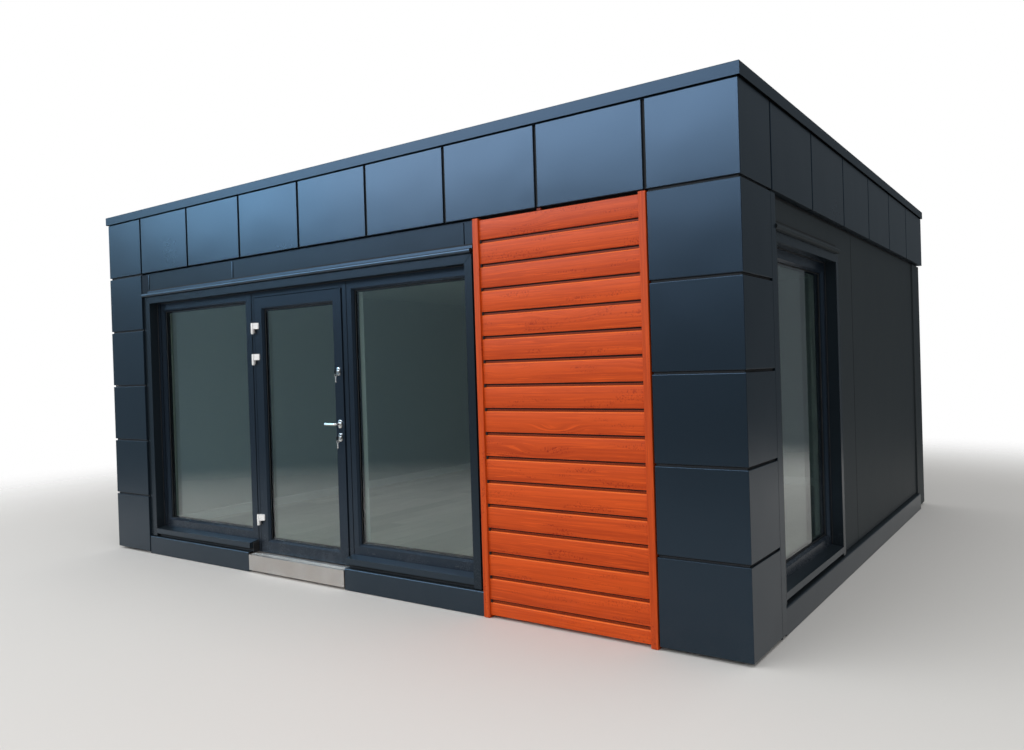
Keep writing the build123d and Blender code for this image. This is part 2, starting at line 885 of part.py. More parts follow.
def feature_trims():
    """Upright timber trims on both sides of the boards."""
    trims = []
    for start in (feature_left, feature_left + feature_width - feature_trim_width):
        trim = block((start, start + feature_trim_width), (-feature_trim_proud, core_face),
                     (feature_trim_bottom, fascia_joint))
        trims.append(on_front(chamfer(trim.edges().filter_by(Axis.Z).sort_by(Axis.Y)[:2], fold_bevel)))
    return trims


# Windows

def frame_ring(u_span, z_span, v_span, side_face, low_face, high_face):
    """A frame with a mitre-true bevel that leads to the glass."""
    face, back = v_span
    ring = block(u_span, v_span, z_span)
    rim = ((u_span[0] + side_face, u_span[1] - side_face), (z_span[0] + low_face, z_span[1] - high_face))
    sight = tuple((low + bead_width, high - bead_width) for low, high in rim)
    ring -= block(sight[0], v_span, sight[1])
    sections = []
    for (u_pair, z_pair), v in ((rim, face), (sight, face + bead_depth)):
        place = Plane(origin=((u_pair[0] + u_pair[1]) / 2, v, (z_pair[0] + z_pair[1]) / 2),
                      x_dir=(1, 0, 0), z_dir=(0, -1, 0))
        sections.append(place * Rectangle(u_pair[1] - u_pair[0], z_pair[1] - z_pair[0]))
    ring -= loft(sections)
    return ring, sight


def glazing(sight, face):
    """A sealed pair of panes that fills the clear opening of a frame."""
    fit = glass_clearance
    u_span = (sight[0][0] + fit, sight[0][1] - fit)
    z_span = (sight[1][0] + fit, sight[1][1] - fit)
    outer = face + glass_setback
    inner = outer + pane_thickness + pane_spacing
    return [block(u_span, (start, start + pane_thickness), z_span) for start in (outer, inner)]


def window(u_span, z_span, side_face):
    """A fixed window: its frame and its glazing."""
    ring, sight = frame_ring(u_span, z_span, (frame_setback, frame_back),
                             side_face, frame_rail_face, frame_rail_face + casing_sheet)
    return ring, glazing(sight, frame_setback)


window_heights = (frame_bottom, core_opening_head)
left_window_span = (opening_left - casing_sheet, left_window_right)
right_window_span = (door_frame_right, opening_right + casing_sheet)
left_frame, left_panes = window(left_window_span, window_heights, left_window_side_face)
right_frame, right_panes = window(right_window_span, window_heights, frame_side_face)
side_frame, side_panes = window(side_opening, window_heights, frame_side_face)


# Door

def door_frame():
    """Door frame: two jambs and a head, with a stop behind the leaf."""
    u_span = (left_window_right, door_frame_right)
    z_span = (floor_level, core_opening_head)
    frame = block(u_span, (frame_setback, frame_back), z_span)
    clear_left = leaf_left - door_hinge_gap
    clear_right = leaf_right + door_latch_gap
    clear_top = leaf_top + door_head_gap
    stop_v = leaf_back + door_stop_gap
    frame -= block((clear_left, clear_right), (frame_setback, stop_v), (floor_level, clear_top))
    frame -= block((leaf_left + door_stop_overlap, leaf_right - door_stop_overlap),
                   (frame_setback, frame_back), (floor_level, leaf_top - door_stop_overlap))
    return on_front(frame)


def door_leaf_and_glass():
    """Glazed door leaf with bores for the lever spindle."""
    span = (leaf_left, leaf_right)
    ring, sight = frame_ring(span, (leaf_bottom, leaf_top), (leaf_face, leaf_back),
                             leaf_stile_face, leaf_bottom_face, leaf_top_face)
    bore = spindle_radius + spindle_clearance
    ring -= pin_along_v(lever_u, lever_height, bore, (leaf_face, leaf_back))
    return on_front(ring), [on_front(pane) for pane in glazing(sight, leaf_face)]


def hinge_barrels():
    """Fixed halves of the hinges: a lower knuckle, its pin and a lug on the frame."""
    parts = []
    for top in hinge_tops:
        low = top - hinge_height
        split = top - hinge_flag_height - hinge_knuckle_gap
        knuckle = Pos(hinge_u, hinge_v, (low + split) / 2) * Cylinder(hinge_radius, split - low)
        knuckle = fillet(knuckle.edges().group_by(Axis.Z)[0], hinge_radius / 2)
        lug_end = leaf_left - door_hinge_gap - hinge_lug_gap
        lug = block((hinge_u - hinge_radius, lug_end), (hinge_v, frame_setback),
                    (low + hinge_radius / 2, split))
        pin_top = top - hinge_radius / 2
        pin = Pos(hinge_u, hinge_v, (split + pin_top) / 2) * Cylinder(hinge_pin_radius, pin_top - split)
        parts.append(on_front(knuckle + lug + pin))
    return parts


def hinge_flags():
    """Moving halves of the hinges: an upper knuckle with a flag on the leaf."""
    parts = []
    for top in hinge_tops:
        low = top - hinge_flag_height
        knuckle = Pos(hinge_u, hinge_v, (low + top) / 2) * Cylinder(hinge_radius, hinge_flag_height)
        flag = block((hinge_u, hinge_u + hinge_flag_reach), (leaf_face - hinge_flag_thickness, leaf_face),
                     (low, top))
        edges = flag.edges().filter_by(Axis.Y).sort_by(Axis.X)[-2:]
        flag = fillet(edges, hinge_radius / 2)
        bore_radius = hinge_pin_radius + hinge_pin_clearance
        bore = Pos(hinge_u, hinge_v, (low + top) / 2) * Cylinder(bore_radius, hinge_flag_height)
        parts.append(on_front(knuckle + flag - bore))
    return parts


def key(z):
    """A key in an outside lock: a short stem and a round bow with a hole."""
    start = leaf_face - rose_thickness - lock_projection
    stem = block((lever_u - key_thickness / 2, lever_u + key_thickness / 2),
                 (start - key_stem_length, start), (z - key_stem_width / 2, z + key_stem_width / 2))
    centre = start - key_stem_length - key_bow_radius / 2
    upright = Rot(0, 90, 0)
    bow = Pos(lever_u, centre, z) * upright * Cylinder(key_bow_radius, key_thickness)
    hole_centre = centre - key_bow_radius / 2
    hole = Pos(lever_u, hole_centre, z) * upright * Cylinder(key_bow_radius / 3, key_thickness)
    return stem + bow - hole


def rose(z, bore):
    """A pair of upright oval roses, outside and inside, with a central hole."""
    pair = []
    for span, side in (((leaf_face - rose_thickness, leaf_face), 0),
                       ((leaf_back, leaf_back + rose_thickness), -1)):
        start = Plane(origin=(lever_u, span[0], z), x_dir=(1, 0, 0), z_dir=(0, 1, 0))
        oval = start * SlotOverall(rose_height, rose_width, rotation=90)
        plate = extrude(oval, amount=rose_thickness, dir=(0, 1, 0))
        plate = fillet(plate.edges().group_by(Axis.Y)[side], rose_thickness / 3)
        pair.append(plate - pin_along_v(lever_u, z, bore, span))
    return pair


def door_roses():
    """Roses of the lever handle, on both faces of the leaf."""
    return [on_front(part) for part in rose(lever_height, lever_neck_radius + rose_clearance)]


def door_locks():
    """Two cylinder locks with roses on both faces, each with its key outside."""
    parts = []
    for z in (lower_lock_height, upper_lock_height):
        outside, inside = rose(z, lock_radius)
        outer = (leaf_face - rose_thickness - lock_projection, leaf_face)
        inner = (leaf_back, leaf_back + rose_thickness + lock_projection)
        parts.append(on_front(outside + pin_along_v(lever_u, z, lock_radius, outer) + key(z)))
        parts.append(on_front(inside + pin_along_v(lever_u, z, lock_radius, inner)))
    return parts


def lever_handle():
    """Both levers and the spindle that joins them through the leaf."""
    gap = glass_clearance
    outer_end = leaf_face - lever_neck_length - rose_thickness
    inner_end = leaf_back + lever_neck_length + rose_thickness
    handle = pin_along_v(lever_u, lever_height, spindle_radius, (outer_end, inner_end))
    for neck, end in (((outer_end, leaf_face - gap), outer_end), ((leaf_back + gap, inner_end), inner_end)):
        handle += pin_along_v(lever_u, lever_height, lever_neck_radius, neck)
        grip = Pos(lever_u - lever_length / 2, end, lever_height) * Rot(0, 90, 0) * Cylinder(
            lever_radius, lever_length)
        handle += grip
        handle += Pos(lever_u, end, lever_height) * Sphere(lever_neck_radius)
        handle += Pos(lever_u - lever_length, end, lever_height) * Sphere(lever_radius)
    return on_front(handle)


door_leaf, door_glass = door_leaf_and_glass()
os.makedirs("parts", exist_ok=True)
save("support_packers", support_packers())
save("chassis_rails", chassis_rails())
save("chassis_joists", chassis_joists())
save("floor_deck", floor_deck())
save("floor_finish", floor_finish())
save("front_wall_left", front_wall_left())
save("front_wall_right", front_wall_right())
save("front_wall_head", front_wall_head())
save("front_wall_upstands", front_wall_upstands())
save("right_wall_front", right_wall_front())
save("right_wall_rear", right_wall_rear())
save("right_wall_head", right_wall_head())
save("right_wall_upstand", right_wall_upstand())
save("left_wall", left_wall())
save("back_wall", back_wall())
save("wall_linings", wall_linings())
save("ceiling_lining", ceiling_lining())
save("skirting", skirting())
save("window_reveals", window_reveals())
save("door_post", door_post())
save("roof_deck", roof_deck())
save("roof_membrane", roof_membrane())
save("parapet", parapet())
save("coping", coping())
save("front_fascia", front_fascia())
save("back_fascia", back_fascia())
save("right_fascia", right_fascia())
save("left_fascia", left_fascia())
save("corner_fascia", corner_fascia())
save("right_corner_cassettes", corner_rows())
save("left_corner_cassettes", [mirrored(row) for row in corner_rows()])
save("front_wall_panels", front_wall_panels())
save("right_wall_panels", right_wall_panels())
save("left_wall_panels", left_wall_panels())
save("back_wall_panels", back_wall_panels())
save("corner_jamb_strips", corner_jamb_strips())
save("rear_corner_trims", rear_corner_trims())
save("front_casing", front_casing())
save("side_casing", side_casing())
save("front_drip_rail", front_drip_rail())
save("side_drip_rail", side_drip_rail())
save("window_sills", window_sills())
save("plinth_bands", plinth_bands())
save("door_threshold", door_threshold())
save("feature_boards", feature_boards())
save("feature_trims", feature_trims())
save("left_window_frame", on_front(left_frame))
save("left_window_glass", [on_front(pane) for pane in left_panes])
save("right_window_frame", on_front(right_frame))
save("right_window_glass", [on_front(pane) for pane in right_panes])
save("side_window_frame", on_right(side_frame))
save("side_window_glass", [on_right(pane) for pane in side_panes])
save("door_frame", door_frame())
save("hinge_barrels", hinge_barrels())
save("door_leaf", door_leaf)
save("door_glass", door_glass)
save("hinge_flags", hinge_flags())
save("door_roses", door_roses())
save("door_locks", door_locks())
save("lever_handle", lever_handle())
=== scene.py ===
import math
import random

import bmesh
import bpy
from bpy.props import FloatProperty, FloatVectorProperty, PointerProperty
from mathutils import Matrix, Vector


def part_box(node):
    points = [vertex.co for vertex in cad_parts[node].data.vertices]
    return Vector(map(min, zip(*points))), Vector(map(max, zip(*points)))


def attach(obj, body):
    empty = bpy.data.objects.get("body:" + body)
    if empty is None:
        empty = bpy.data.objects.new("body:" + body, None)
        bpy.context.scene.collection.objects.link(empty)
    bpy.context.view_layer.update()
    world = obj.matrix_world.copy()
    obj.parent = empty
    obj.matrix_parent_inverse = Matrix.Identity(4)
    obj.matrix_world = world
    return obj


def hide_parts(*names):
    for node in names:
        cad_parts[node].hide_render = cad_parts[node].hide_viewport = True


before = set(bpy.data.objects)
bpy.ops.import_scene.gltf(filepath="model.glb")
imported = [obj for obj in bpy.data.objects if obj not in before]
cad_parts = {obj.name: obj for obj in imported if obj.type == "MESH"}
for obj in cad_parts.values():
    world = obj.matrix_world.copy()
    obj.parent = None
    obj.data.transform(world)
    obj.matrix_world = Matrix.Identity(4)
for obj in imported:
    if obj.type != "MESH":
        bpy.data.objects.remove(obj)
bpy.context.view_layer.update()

bl_info = {
    "name": "Site Cabin Dressing",
    "version": (1, 0, 0),
    "blender": (4, 5, 0),
    "location": "View3D > Sidebar > Cabin",
    "description": "Cladding, joinery, finishes and studio of a flat-roofed site cabin",
    "category": "Object",
}

# The cabin stands on z = 0 with the middle of its footprint at the origin and its front towards -Y.
# Walls are laid out in their own coordinates, in metres: u along the wall, v inwards from the
# face of the cladding, z up.
half_width, half_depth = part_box("corner_fascia")[1][:2]
body_width, body_depth = 2 * half_width, 2 * half_depth

quarter = math.radians(90)
unmoved = Matrix.Identity(4)
mirror_x = Matrix.Scale(-1, 4, (1, 0, 0))
mirror_y = Matrix.Scale(-1, 4, (0, 1, 0))
both_sides = (unmoved, mirror_x)
right_corner = Matrix.Translation((half_width, -half_depth, 0))
front_wall = Matrix.Translation((-half_width, -half_depth, 0))
back_wall = mirror_y @ front_wall
right_wall = right_corner @ Matrix.Rotation(quarter, 4, "Z")
left_wall = mirror_x @ right_wall
side_walls = (right_wall, left_wall)
walls_and_lengths = ((front_wall, body_width), (back_wall, body_width),
                     (right_wall, body_depth), (left_wall, body_depth))

# Layout of the cladding
core_face = 0.050
row_pitch = 0.500
row_count = 5
front_panel_count = 7
side_panel_count = 5
row_base = 0.020
row_gap = 0.016
column_gap = 0.020
corner_front_leg = 0.524
corner_side_leg = 0.472
fascia_low = 2.528
fascia_high = 3.020
fascia_front_corner = 0.496
fascia_rear_corner = 0.876

# Layout of the openings
opening_left = 0.612
opening_right = 4.231
opening_head = 2.253
left_window_right = 1.956
door_frame_right = 3.056
side_window_start = 0.635
side_window_end = 1.976
casing_width = 0.060
hood_low = 2.314
hood_high = 2.344
plate_top = 2.370
lintel_joints = (0.592, 1.811)
lintel_top = 2.511
hood_joints = (2.795,)
board_first_edge = 0.119
frame_face = 0.100
sill_level = 0.243
window_glass_face = 0.130
door_glass_face = 0.122
unit_depth = 0.026
side_panel_joint = 2.530
joint_reach = 0.0038
band_face, band_foot, band_top = 0.005, 0.004, 0.160
upstand_v = (0.024, 0.030)

# Door furniture
leaf_left = 1.999
leaf_face = 0.092
leaf_back = 0.152
hinge_u = 1.996
hinge_v = 0.071
hinge_tops = (2.000, 1.750, 0.458)
flag_height = 0.049
hinge_height = 0.090
lever_u = 2.962
lever_z = 1.200
rose_width = 0.036
rose_height = 0.062
lock_heights = (1.101, 1.589)

# Roof, studio and shared small measures
roof_front = 2.685
roof_back = 2.645
coping_reach = 0.015
coping_depth = 0.119
coping_lip = 0.050
sheet_metal = 0.002
thick_metal = 0.003
level_match = 1e-6
fold_angle = 0.8
face_depth = 0.004
camera_place = (4.4461, -6.8270, 1.5696)
camera_yaw, camera_pitch, camera_roll = 35.3495, -0.4492, -1.7666
camera_lens = 28.528
floor_radius = 16.0
floor_fade = (5.5, 11.0)
cassette_seed = 7


class CabinSizes(bpy.types.PropertyGroup):
    """Sizes of the pieces that dress the cabin."""

    fold_radius: FloatProperty(name="Fold radius", description="Radius of the folded cassette edges",
                               default=0.003, min=0.0005, max=0.01, unit="LENGTH")
    face_bow: FloatProperty(name="Face bow", description="How far a cassette face may bow out",
                            default=0.0016, min=0.0, max=0.006, unit="LENGTH")
    board_rounding: FloatProperty(name="Board rounding", description="Rounding of the timber board edges",
                                  default=0.0018, min=0.0003, max=0.004, unit="LENGTH")
    board_pitch: FloatProperty(name="Board pitch", description="Height from one timber board to the next",
                               default=0.151, min=0.05, max=0.3, unit="LENGTH")
    gasket_width: FloatProperty(name="Gasket width",
                                description="Visible width of the rubber round each pane",
                                default=0.005, min=0.002, max=0.01, unit="LENGTH")
    spacer_width: FloatProperty(name="Spacer width", description="Height of the bar between the two panes",
                                default=0.013, min=0.006, max=0.02, unit="LENGTH")
    plank_width: FloatProperty(name="Plank width", description="Width of a floor plank",
                               default=0.19, min=0.05, max=0.4, unit="LENGTH")
    lap_spacing: FloatProperty(name="Lap spacing",
                               description="Distance between the laps of the roof sheet",
                               default=1.45, min=0.5, max=3.0, unit="LENGTH")


class CabinColours(bpy.types.PropertyGroup):
    """Colours of the finishes."""

    cassette: FloatVectorProperty(name="Cassette coat", description="Powder coat of the folded cassettes",
                                  subtype="COLOR", size=3, min=0, max=1, default=(0.0080, 0.0130, 0.0180))
    side_panel: FloatVectorProperty(name="Side panel coat",
                                    description="Matt coat of the plain side sheets",
                                    subtype="COLOR", size=3, min=0, max=1, default=(0.0320, 0.0390, 0.0430))
    panel: FloatVectorProperty(name="Panel coat", description="Coat of the front panels, casings and trims",
                               subtype="COLOR", size=3, min=0, max=1, default=(0.0120, 0.0170, 0.0215))
    profile: FloatVectorProperty(name="Frame foil", description="Outside of the window and door frames",
                                 subtype="COLOR", size=3, min=0, max=1, default=(0.0100, 0.0155, 0.0235))
    timber_light: FloatVectorProperty(name="Timber light", description="Early wood of the stained boards",
                                      subtype="COLOR", size=3, min=0, max=1, default=(0.660, 0.088, 0.010))
    timber_dark: FloatVectorProperty(name="Timber dark",
                                     description="Late wood and knots of the stained boards",
                                     subtype="COLOR", size=3, min=0, max=1, default=(0.300, 0.024, 0.004))
    glass: FloatVectorProperty(name="Glass", description="Tint of one pane face",
                               subtype="COLOR", size=3, min=0, max=1, default=(0.900, 0.952, 0.940))
    # Darker and greener than white boards: painted shade and green cast of a room lit only through the
    # tinted panes.
    lining: FloatVectorProperty(name="Lining", description="Walls and ceiling of the room",
                                subtype="COLOR", size=3, min=0, max=1, default=(0.500, 0.530, 0.490))
    plank: FloatVectorProperty(name="Planks", description="Floor planks of the room",
                               subtype="COLOR", size=3, min=0, max=1, default=(0.520, 0.480, 0.410))
    threshold: FloatVectorProperty(name="Threshold", description="Brushed metal under the door",
                                   subtype="COLOR", size=3, min=0, max=1, default=(0.520, 0.450, 0.390))
    roof_sheet: FloatVectorProperty(name="Roof sheet", description="Waterproof sheet of the roof",
                                    subtype="COLOR", size=3, min=0, max=1, default=(0.150, 0.155, 0.160))


class CabinStudio(bpy.types.PropertyGroup):
    """Light and ground of the studio."""

    sky_level: FloatProperty(name="Sky level", description="Strength of the even light from all round",
                             default=0.66, min=0.0, max=2.0)
    key_power: FloatProperty(name="Key power", description="Power of the wide soft lamp in front",
                             default=1250.0, min=0.0, max=20000.0, unit="POWER")
    sheen_power: FloatProperty(name="Sheen power", description="Power of the lamp that only gloss shows",
                               default=5450.0, min=0.0, max=20000.0, unit="POWER")
    top_power: FloatProperty(name="Top power", description="Power of the wide soft lamp overhead",
                             default=400.0, min=0.0, max=20000.0, unit="POWER")
    ground: FloatVectorProperty(name="Ground", description="Colour of the studio floor",
                                subtype="COLOR", size=3, min=0, max=1, default=(0.700, 0.685, 0.660))


# Node helpers

def feed(tree, made, inputs):
    """Give a node its inputs: other sockets are linked and plain values are set."""
    for key, value in inputs.items():
        if isinstance(value, bpy.types.NodeSocket):
            tree.links.new(value, made.inputs[key])
        else:
            made.inputs[key].default_value = value


def add(tree, kind, inputs=None, **settings):
    """A shader node with its settings, fed by other sockets or by plain values."""
    made = tree.nodes.new("ShaderNode" + kind)
    for label, value in settings.items():
        setattr(made, label, value)
    feed(tree, made, inputs or {})
    return made


def tree_of(*values):
    """The node tree that the first socket among some values belongs to."""
    return next(value.id_data for value in values if isinstance(value, bpy.types.NodeSocket))


def maths(operation, first, second=0.0, clamp=False):
    """One sum of two values."""
    return add(tree_of(first, second), "Math", {0: first, 1: second}, operation=operation,
               use_clamp=clamp).outputs[0]


def plus(first, second, clamp=False):
    """The sum of two values."""
    return maths("ADD", first, second, clamp)


def less(first, second):
    """The first value less the second."""
    return maths("SUBTRACT", first, second)


def times(first, second, clamp=False):
    """The product of two values."""
    return maths("MULTIPLY", first, second, clamp)


def tint(share, first, second, mode="MIX"):
    """Two colours mixed by a share."""
    return add(tree_of(share, first, second), "Mix", {0: share, 6: first, 7: second}, data_type="RGBA",
               blend_type=mode).outputs[2]


def shaded(colour, level):
    """A colour made lighter or darker by a level."""
    return add(tree_of(level), "VectorMath", {0: colour, "Scale": level}, operation="SCALE").outputs[0]


def ramp(value, low, high, to_low=0.0, to_high=1.0):
    """A value eased from one range to another."""
    sockets = {"Value": value, "From Min": low, "From Max": high, "To Min": to_low, "To Max": to_high}
    return add(tree_of(value), "MapRange", sockets, interpolation_type="SMOOTHSTEP").outputs[0]


def stretched(place, scale, shift=(0, 0, 0)):
    """Coordinates scaled for a pattern that is longer one way."""
    return add(tree_of(place), "Mapping", {"Vector": place, "Scale": scale, "Location": shift}).outputs[0]


def turned(place, axis):
    """Coordinates turned by a quarter about an axis."""
    angles = [quarter if number == axis else 0 for number in range(3)]
    return add(tree_of(place), "Mapping", {"Vector": place, "Rotation": angles}).outputs[0]


def axis_of(place, axis):
    """One of the three coordinates of a place."""
    return add(tree_of(place), "SeparateXYZ", {0: place}).outputs[axis]


def cloud(place, scale, detail=2.0, rough=0.5, warp=0.0):
    """Soft noise from 0 to 1."""
    sockets = {"Vector": place, "Scale": scale, "Detail": detail, "Roughness": rough, "Distortion": warp}
    return add(tree_of(place), "TexNoise", sockets).outputs[0]


def bumped(height, strength, distance):
    """A normal with a relief."""
    sockets = {"Height": height, "Strength": strength, "Distance": distance}
    return add(tree_of(height), "Bump", sockets).outputs[0]


def rgba(colour, share=1.0):
    """A share of a colour, opaque."""
    return (*(channel * share for channel in colour[:3]), 1.0)


def new_group(label, ins, outs):
    """An empty shader group, from its inputs with their values and its outputs with their kinds."""
    tree = bpy.data.node_groups.new(label, "ShaderNodeTree")
    for name, value in ins.items():
        kind = {3: "Vector", 4: "Color"}[len(value)] if isinstance(value, tuple) else "Float"
        socket = tree.interface.new_socket(name, in_out="INPUT", socket_type="NodeSocket" + kind)
        socket.default_value = value
    for name, kind in outs.items():
        tree.interface.new_socket(name, in_out="OUTPUT", socket_type="NodeSocket" + kind)
    return tree, tree.nodes.new("NodeGroupInput").outputs, tree.nodes.new("NodeGroupOutput")


def placed(group, **inputs):
    """The outputs of a shader group, put into the tree of the sockets that feed it."""
    tree = tree_of(*inputs.values())
    made = tree.nodes.new("ShaderNodeGroup")
    made.node_tree = bpy.data.node_groups[group]
    feed(tree, made, inputs)
    return made.outputs


# Shared effects

relief_outs = {"Colour": "Color", "Roughness": "Float", "Height": "Float"}


def powder_coat_group():
    """Baked coat: cloudy tone, faint waves of thin sheet and a fine orange-peel grain."""
    ins = {"Place": (0, 0, 0), "Colour": (0.02, 0.03, 0.04, 1), "Roughness": 0.4, "Tone": 0.12,
           "Waves": 0.3, "Grain": 0.15}
    outs = {"Colour": "Color", "Roughness": "Float", "Normal": "Vector"}
    tree, given, out = new_group("powder_coat", ins, outs)
    broad = cloud(given["Place"], 0.9, 3.0)
    fine = cloud(given["Place"], 26.0, 4.0, 0.6)
    shade = plus(times(broad, 0.75), times(fine, 0.25))
    gain = times(less(shade, 0.5), given["Tone"])
    level = plus(times(gain, 2.0), 1.0)
    toned = shaded(given["Colour"], level)
    rough = plus(given["Roughness"], times(gain, 0.35), clamp=True)
    swell = cloud(given["Place"], 2.6, 1.0)
    wave = add(tree, "Bump", {"Height": swell, "Strength": given["Waves"], "Distance": 0.012})
    peel = cloud(given["Place"], 420.0, 2.0)
    normal = add(tree, "Bump", {"Height": peel, "Strength": given["Grain"], "Distance": 0.0004,
                                "Normal": wave.outputs[0]})
    feed(tree, out, {"Colour": toned, "Roughness": rough, "Normal": normal.outputs[0]})


def yard_dust_group():
    """Pale dust thrown up from the ground, thickest at the foot, in soft splashes."""
    ins = {"Place": (0, 0, 0), "Colour": (0.5, 0.5, 0.5, 1), "Roughness": 0.4,
           "Dust": (0.36, 0.33, 0.29, 1), "Reach": 0.55, "Amount": 0.12}
    outs = {"Colour": "Color", "Roughness": "Float"}
    tree, given, out = new_group("yard_dust", ins, outs)
    height = axis_of(given["Place"], 2)
    near = ramp(maths("DIVIDE", height, given["Reach"]), 0.0, 1.0, 1.0, 0.0)
    splash = ramp(cloud(given["Place"], 7.0, 6.0, 0.65), 0.35, 0.75)
    speck = ramp(cloud(given["Place"], 120.0, 2.0, 0.6), 0.45, 0.7, 0.4, 1.0)
    mask = times(times(near, speck), plus(splash, 0.35))
    share = times(mask, given["Amount"], clamp=True)
    rough = plus(given["Roughness"], times(share, 1.2), clamp=True)
    feed(tree, out, {"Colour": tint(share, given["Colour"], given["Dust"]), "Roughness": rough})


def stained_wood_group():
    """Stained softwood: fine streaks, pale dashes, rows of short dark ticks and a few small knots, with a
    painted highlight along the top of each board and painted shade towards its foot.
    """
    ins = {"Along": (0, 0, 0), "Piece": 0.0, "Rise": 0.5, "Light": (0.5, 0.08, 0.02, 1),
           "Dark": (0.25, 0.03, 0.01, 1), "Knots": 1.0}
    tree, given, out = new_group("stained_wood", ins, relief_outs)
    chance = add(tree, "TexWhiteNoise", {"W": given["Piece"]}, noise_dimensions="1D")
    slide = add(tree, "VectorMath", {0: chance.outputs["Color"], 1: (31.0, 17.0, 9.0)},
                operation="MULTIPLY")
    moved = add(tree, "VectorMath", {0: given["Along"], 1: slide.outputs[0]}, operation="ADD").outputs[0]
    spots = add(tree, "TexVoronoi", {"Vector": stretched(moved, (1.3, 1.0, 6.0)), "Scale": 1.0,
                                     "Randomness": 1.0}, feature="F1")
    drawn = axis_of(spots.outputs["Color"], 0)
    kept = times(maths("GREATER_THAN", drawn, 0.45), given["Knots"])
    knot = times(ramp(spots.outputs["Distance"], 0.01, 0.07, 1.0, 0.0), kept)
    pull = times(ramp(spots.outputs["Distance"], 0.0, 0.4, 0.045, 0.0), kept)
    bent = add(tree, "VectorMath", {0: moved, 1: add(tree, "CombineXYZ", {2: pull}).outputs[0]},
               operation="ADD").outputs[0]
    streak = cloud(stretched(bent, (0.7, 6.0, 34.0)), 2.2, 6.0, 0.6, 0.25)
    fibre = cloud(stretched(bent, (6.0, 60.0, 210.0)), 2.0, 3.0, 0.6)
    dash = ramp(cloud(stretched(bent, (2.2, 9.0, 95.0), (3.1, 0.7, 5.3)), 1.6), 0.58, 0.70)
    patch = ramp(cloud(stretched(moved, (2.0, 1.0, 14.0)), 1.5), 0.54, 0.66)
    grid = cloud(stretched(bent, (70.0, 9.0, 60.0)), 1.5)
    tick = times(ramp(grid, 0.52, 0.64), patch)
    ripple = times(less(streak, 0.5), 0.10)
    # A narrow band under the top of each board that marks where the painted highlight goes.
    eased = ramp(plus(given["Rise"], ripple), 0.815, 0.835)
    bands = ramp(streak, 0.34, 0.68)
    share = plus(times(bands, 0.34), times(fibre, 0.24))
    tone = times(less(chance.outputs["Value"], 0.5), 0.18)
    # Painted shade: the lower half of each board is darker and the upper half lighter, as if lit from
    # above.
    foot = times(less(0.5, given["Rise"]), 0.34)
    marks = plus(times(knot, 0.60), times(tick, 0.44))
    marks = less(marks, times(dash, 0.50))
    dark = plus(plus(share, tone), plus(marks, foot), clamp=True)
    stained = tint(dark, given["Light"], given["Dark"])
    # Painted highlight: a lighter orange laid along the top of each board where its arris would catch
    # light.
    edge = tint(1.0, given["Light"], (1.35, 1.9, 1.9, 1.0), "MULTIPLY")
    painted_arris_highlight = times(eased, given["Knots"])
    colour = tint(times(painted_arris_highlight, 0.75), stained, edge)
    relief = less(times(fibre, -0.6), times(bands, 0.4))
    feed(tree, out, {"Colour": colour, "Roughness": plus(0.36, times(fibre, 0.16)), "Height": relief})


def brushed_metal_group():
    """Fine parallel brush lines with a few longer scuffs."""
    ins = {"Along": (0, 0, 0), "Colour": (0.5, 0.5, 0.5, 1), "Roughness": 0.3}
    tree, given, out = new_group("brushed_metal", ins, relief_outs)
    lines = cloud(stretched(given["Along"], (6.0, 420.0, 420.0)), 1.0, 4.0, 0.7)
    wear = cloud(given["Along"], 5.0, 6.0, 0.65)
    level = plus(0.86, times(plus(lines, wear), 0.14))
    rough = plus(given["Roughness"], times(wear, 0.22), clamp=True)
    feed(tree, out, {"Colour": shaded(given["Colour"], level), "Roughness": rough, "Height": lines})


def painted_board_group():
    """Roller-painted board with a fine stipple and barely uneven tone."""
    ins = {"Place": (0, 0, 0), "Colour": (0.7, 0.7, 0.7, 1)}
    tree, given, out = new_group("painted_board", ins, relief_outs)
    broad = cloud(given["Place"], 1.3, 3.0)
    stipple = cloud(given["Place"], 260.0, 3.0, 0.6)
    level = plus(0.95, times(broad, 0.08))
    rough = plus(0.5, times(stipple, 0.2))
    feed(tree, out, {"Colour": shaded(given["Colour"], level), "Roughness": rough, "Height": stipple})


# Finishes

finishes = {}
# Blue tint laid on the reflections of the coats and frame foils: a painted sky colour in their gloss.
sky_tint_on_gloss = (0.52, 0.74, 1.0, 1.0)


def new_finish(label):
    """An empty material: its principled shader and its object coordinates."""
    made = bpy.data.materials.new(label)
    made.use_nodes = True
    finishes[label] = made
    tree = made.node_tree
    return tree.nodes["Principled BSDF"], add(tree, "TexCoord").outputs["Object"]


def settle(shader, colour, rough, normal=None, **plain):
    """Join colour, roughness and normal to the shader and set its plain values."""
    inputs = {"Base Color": colour, "Roughness": rough}
    if normal is not None:
        inputs["Normal"] = normal
    for label, value in plain.items():
        inputs[label.replace("_", " ").title().replace("Ior", "IOR")] = value
    feed(shader.id_data, shader, inputs)


def see_through(shader, share, colour=(1.0, 1.0, 1.0, 1.0)):
    """Let a share of the rays straight through a material."""
    tree = shader.id_data
    clear = add(tree, "BsdfTransparent", {"Color": colour})
    mixed = add(tree, "MixShader", {0: share, 1: shader.outputs[0], 2: clear.outputs[0]})
    tree.links.new(mixed.outputs[0], tree.nodes["Material Output"].inputs["Surface"])


def dusted(place, under, amount, reach=0.55):
    """Yard dust over the colour and roughness of a surface."""
    return placed("yard_dust", Place=place, Colour=under["Colour"], Roughness=under["Roughness"],
                  Reach=reach, Amount=amount)


def coated(label, colour, roughness, tone, waves, grain, dust, **plain):
    """Powder-coated sheet with dust near the ground."""
    shader, place = new_finish(label)
    coat = placed("powder_coat", Place=place, Colour=rgba(colour), Roughness=roughness, Tone=tone,
                  Waves=waves, Grain=grain)
    dusty = dusted(place, coat, dust)
    settle(shader, dusty["Colour"], dusty["Roughness"], coat["Normal"], **plain)


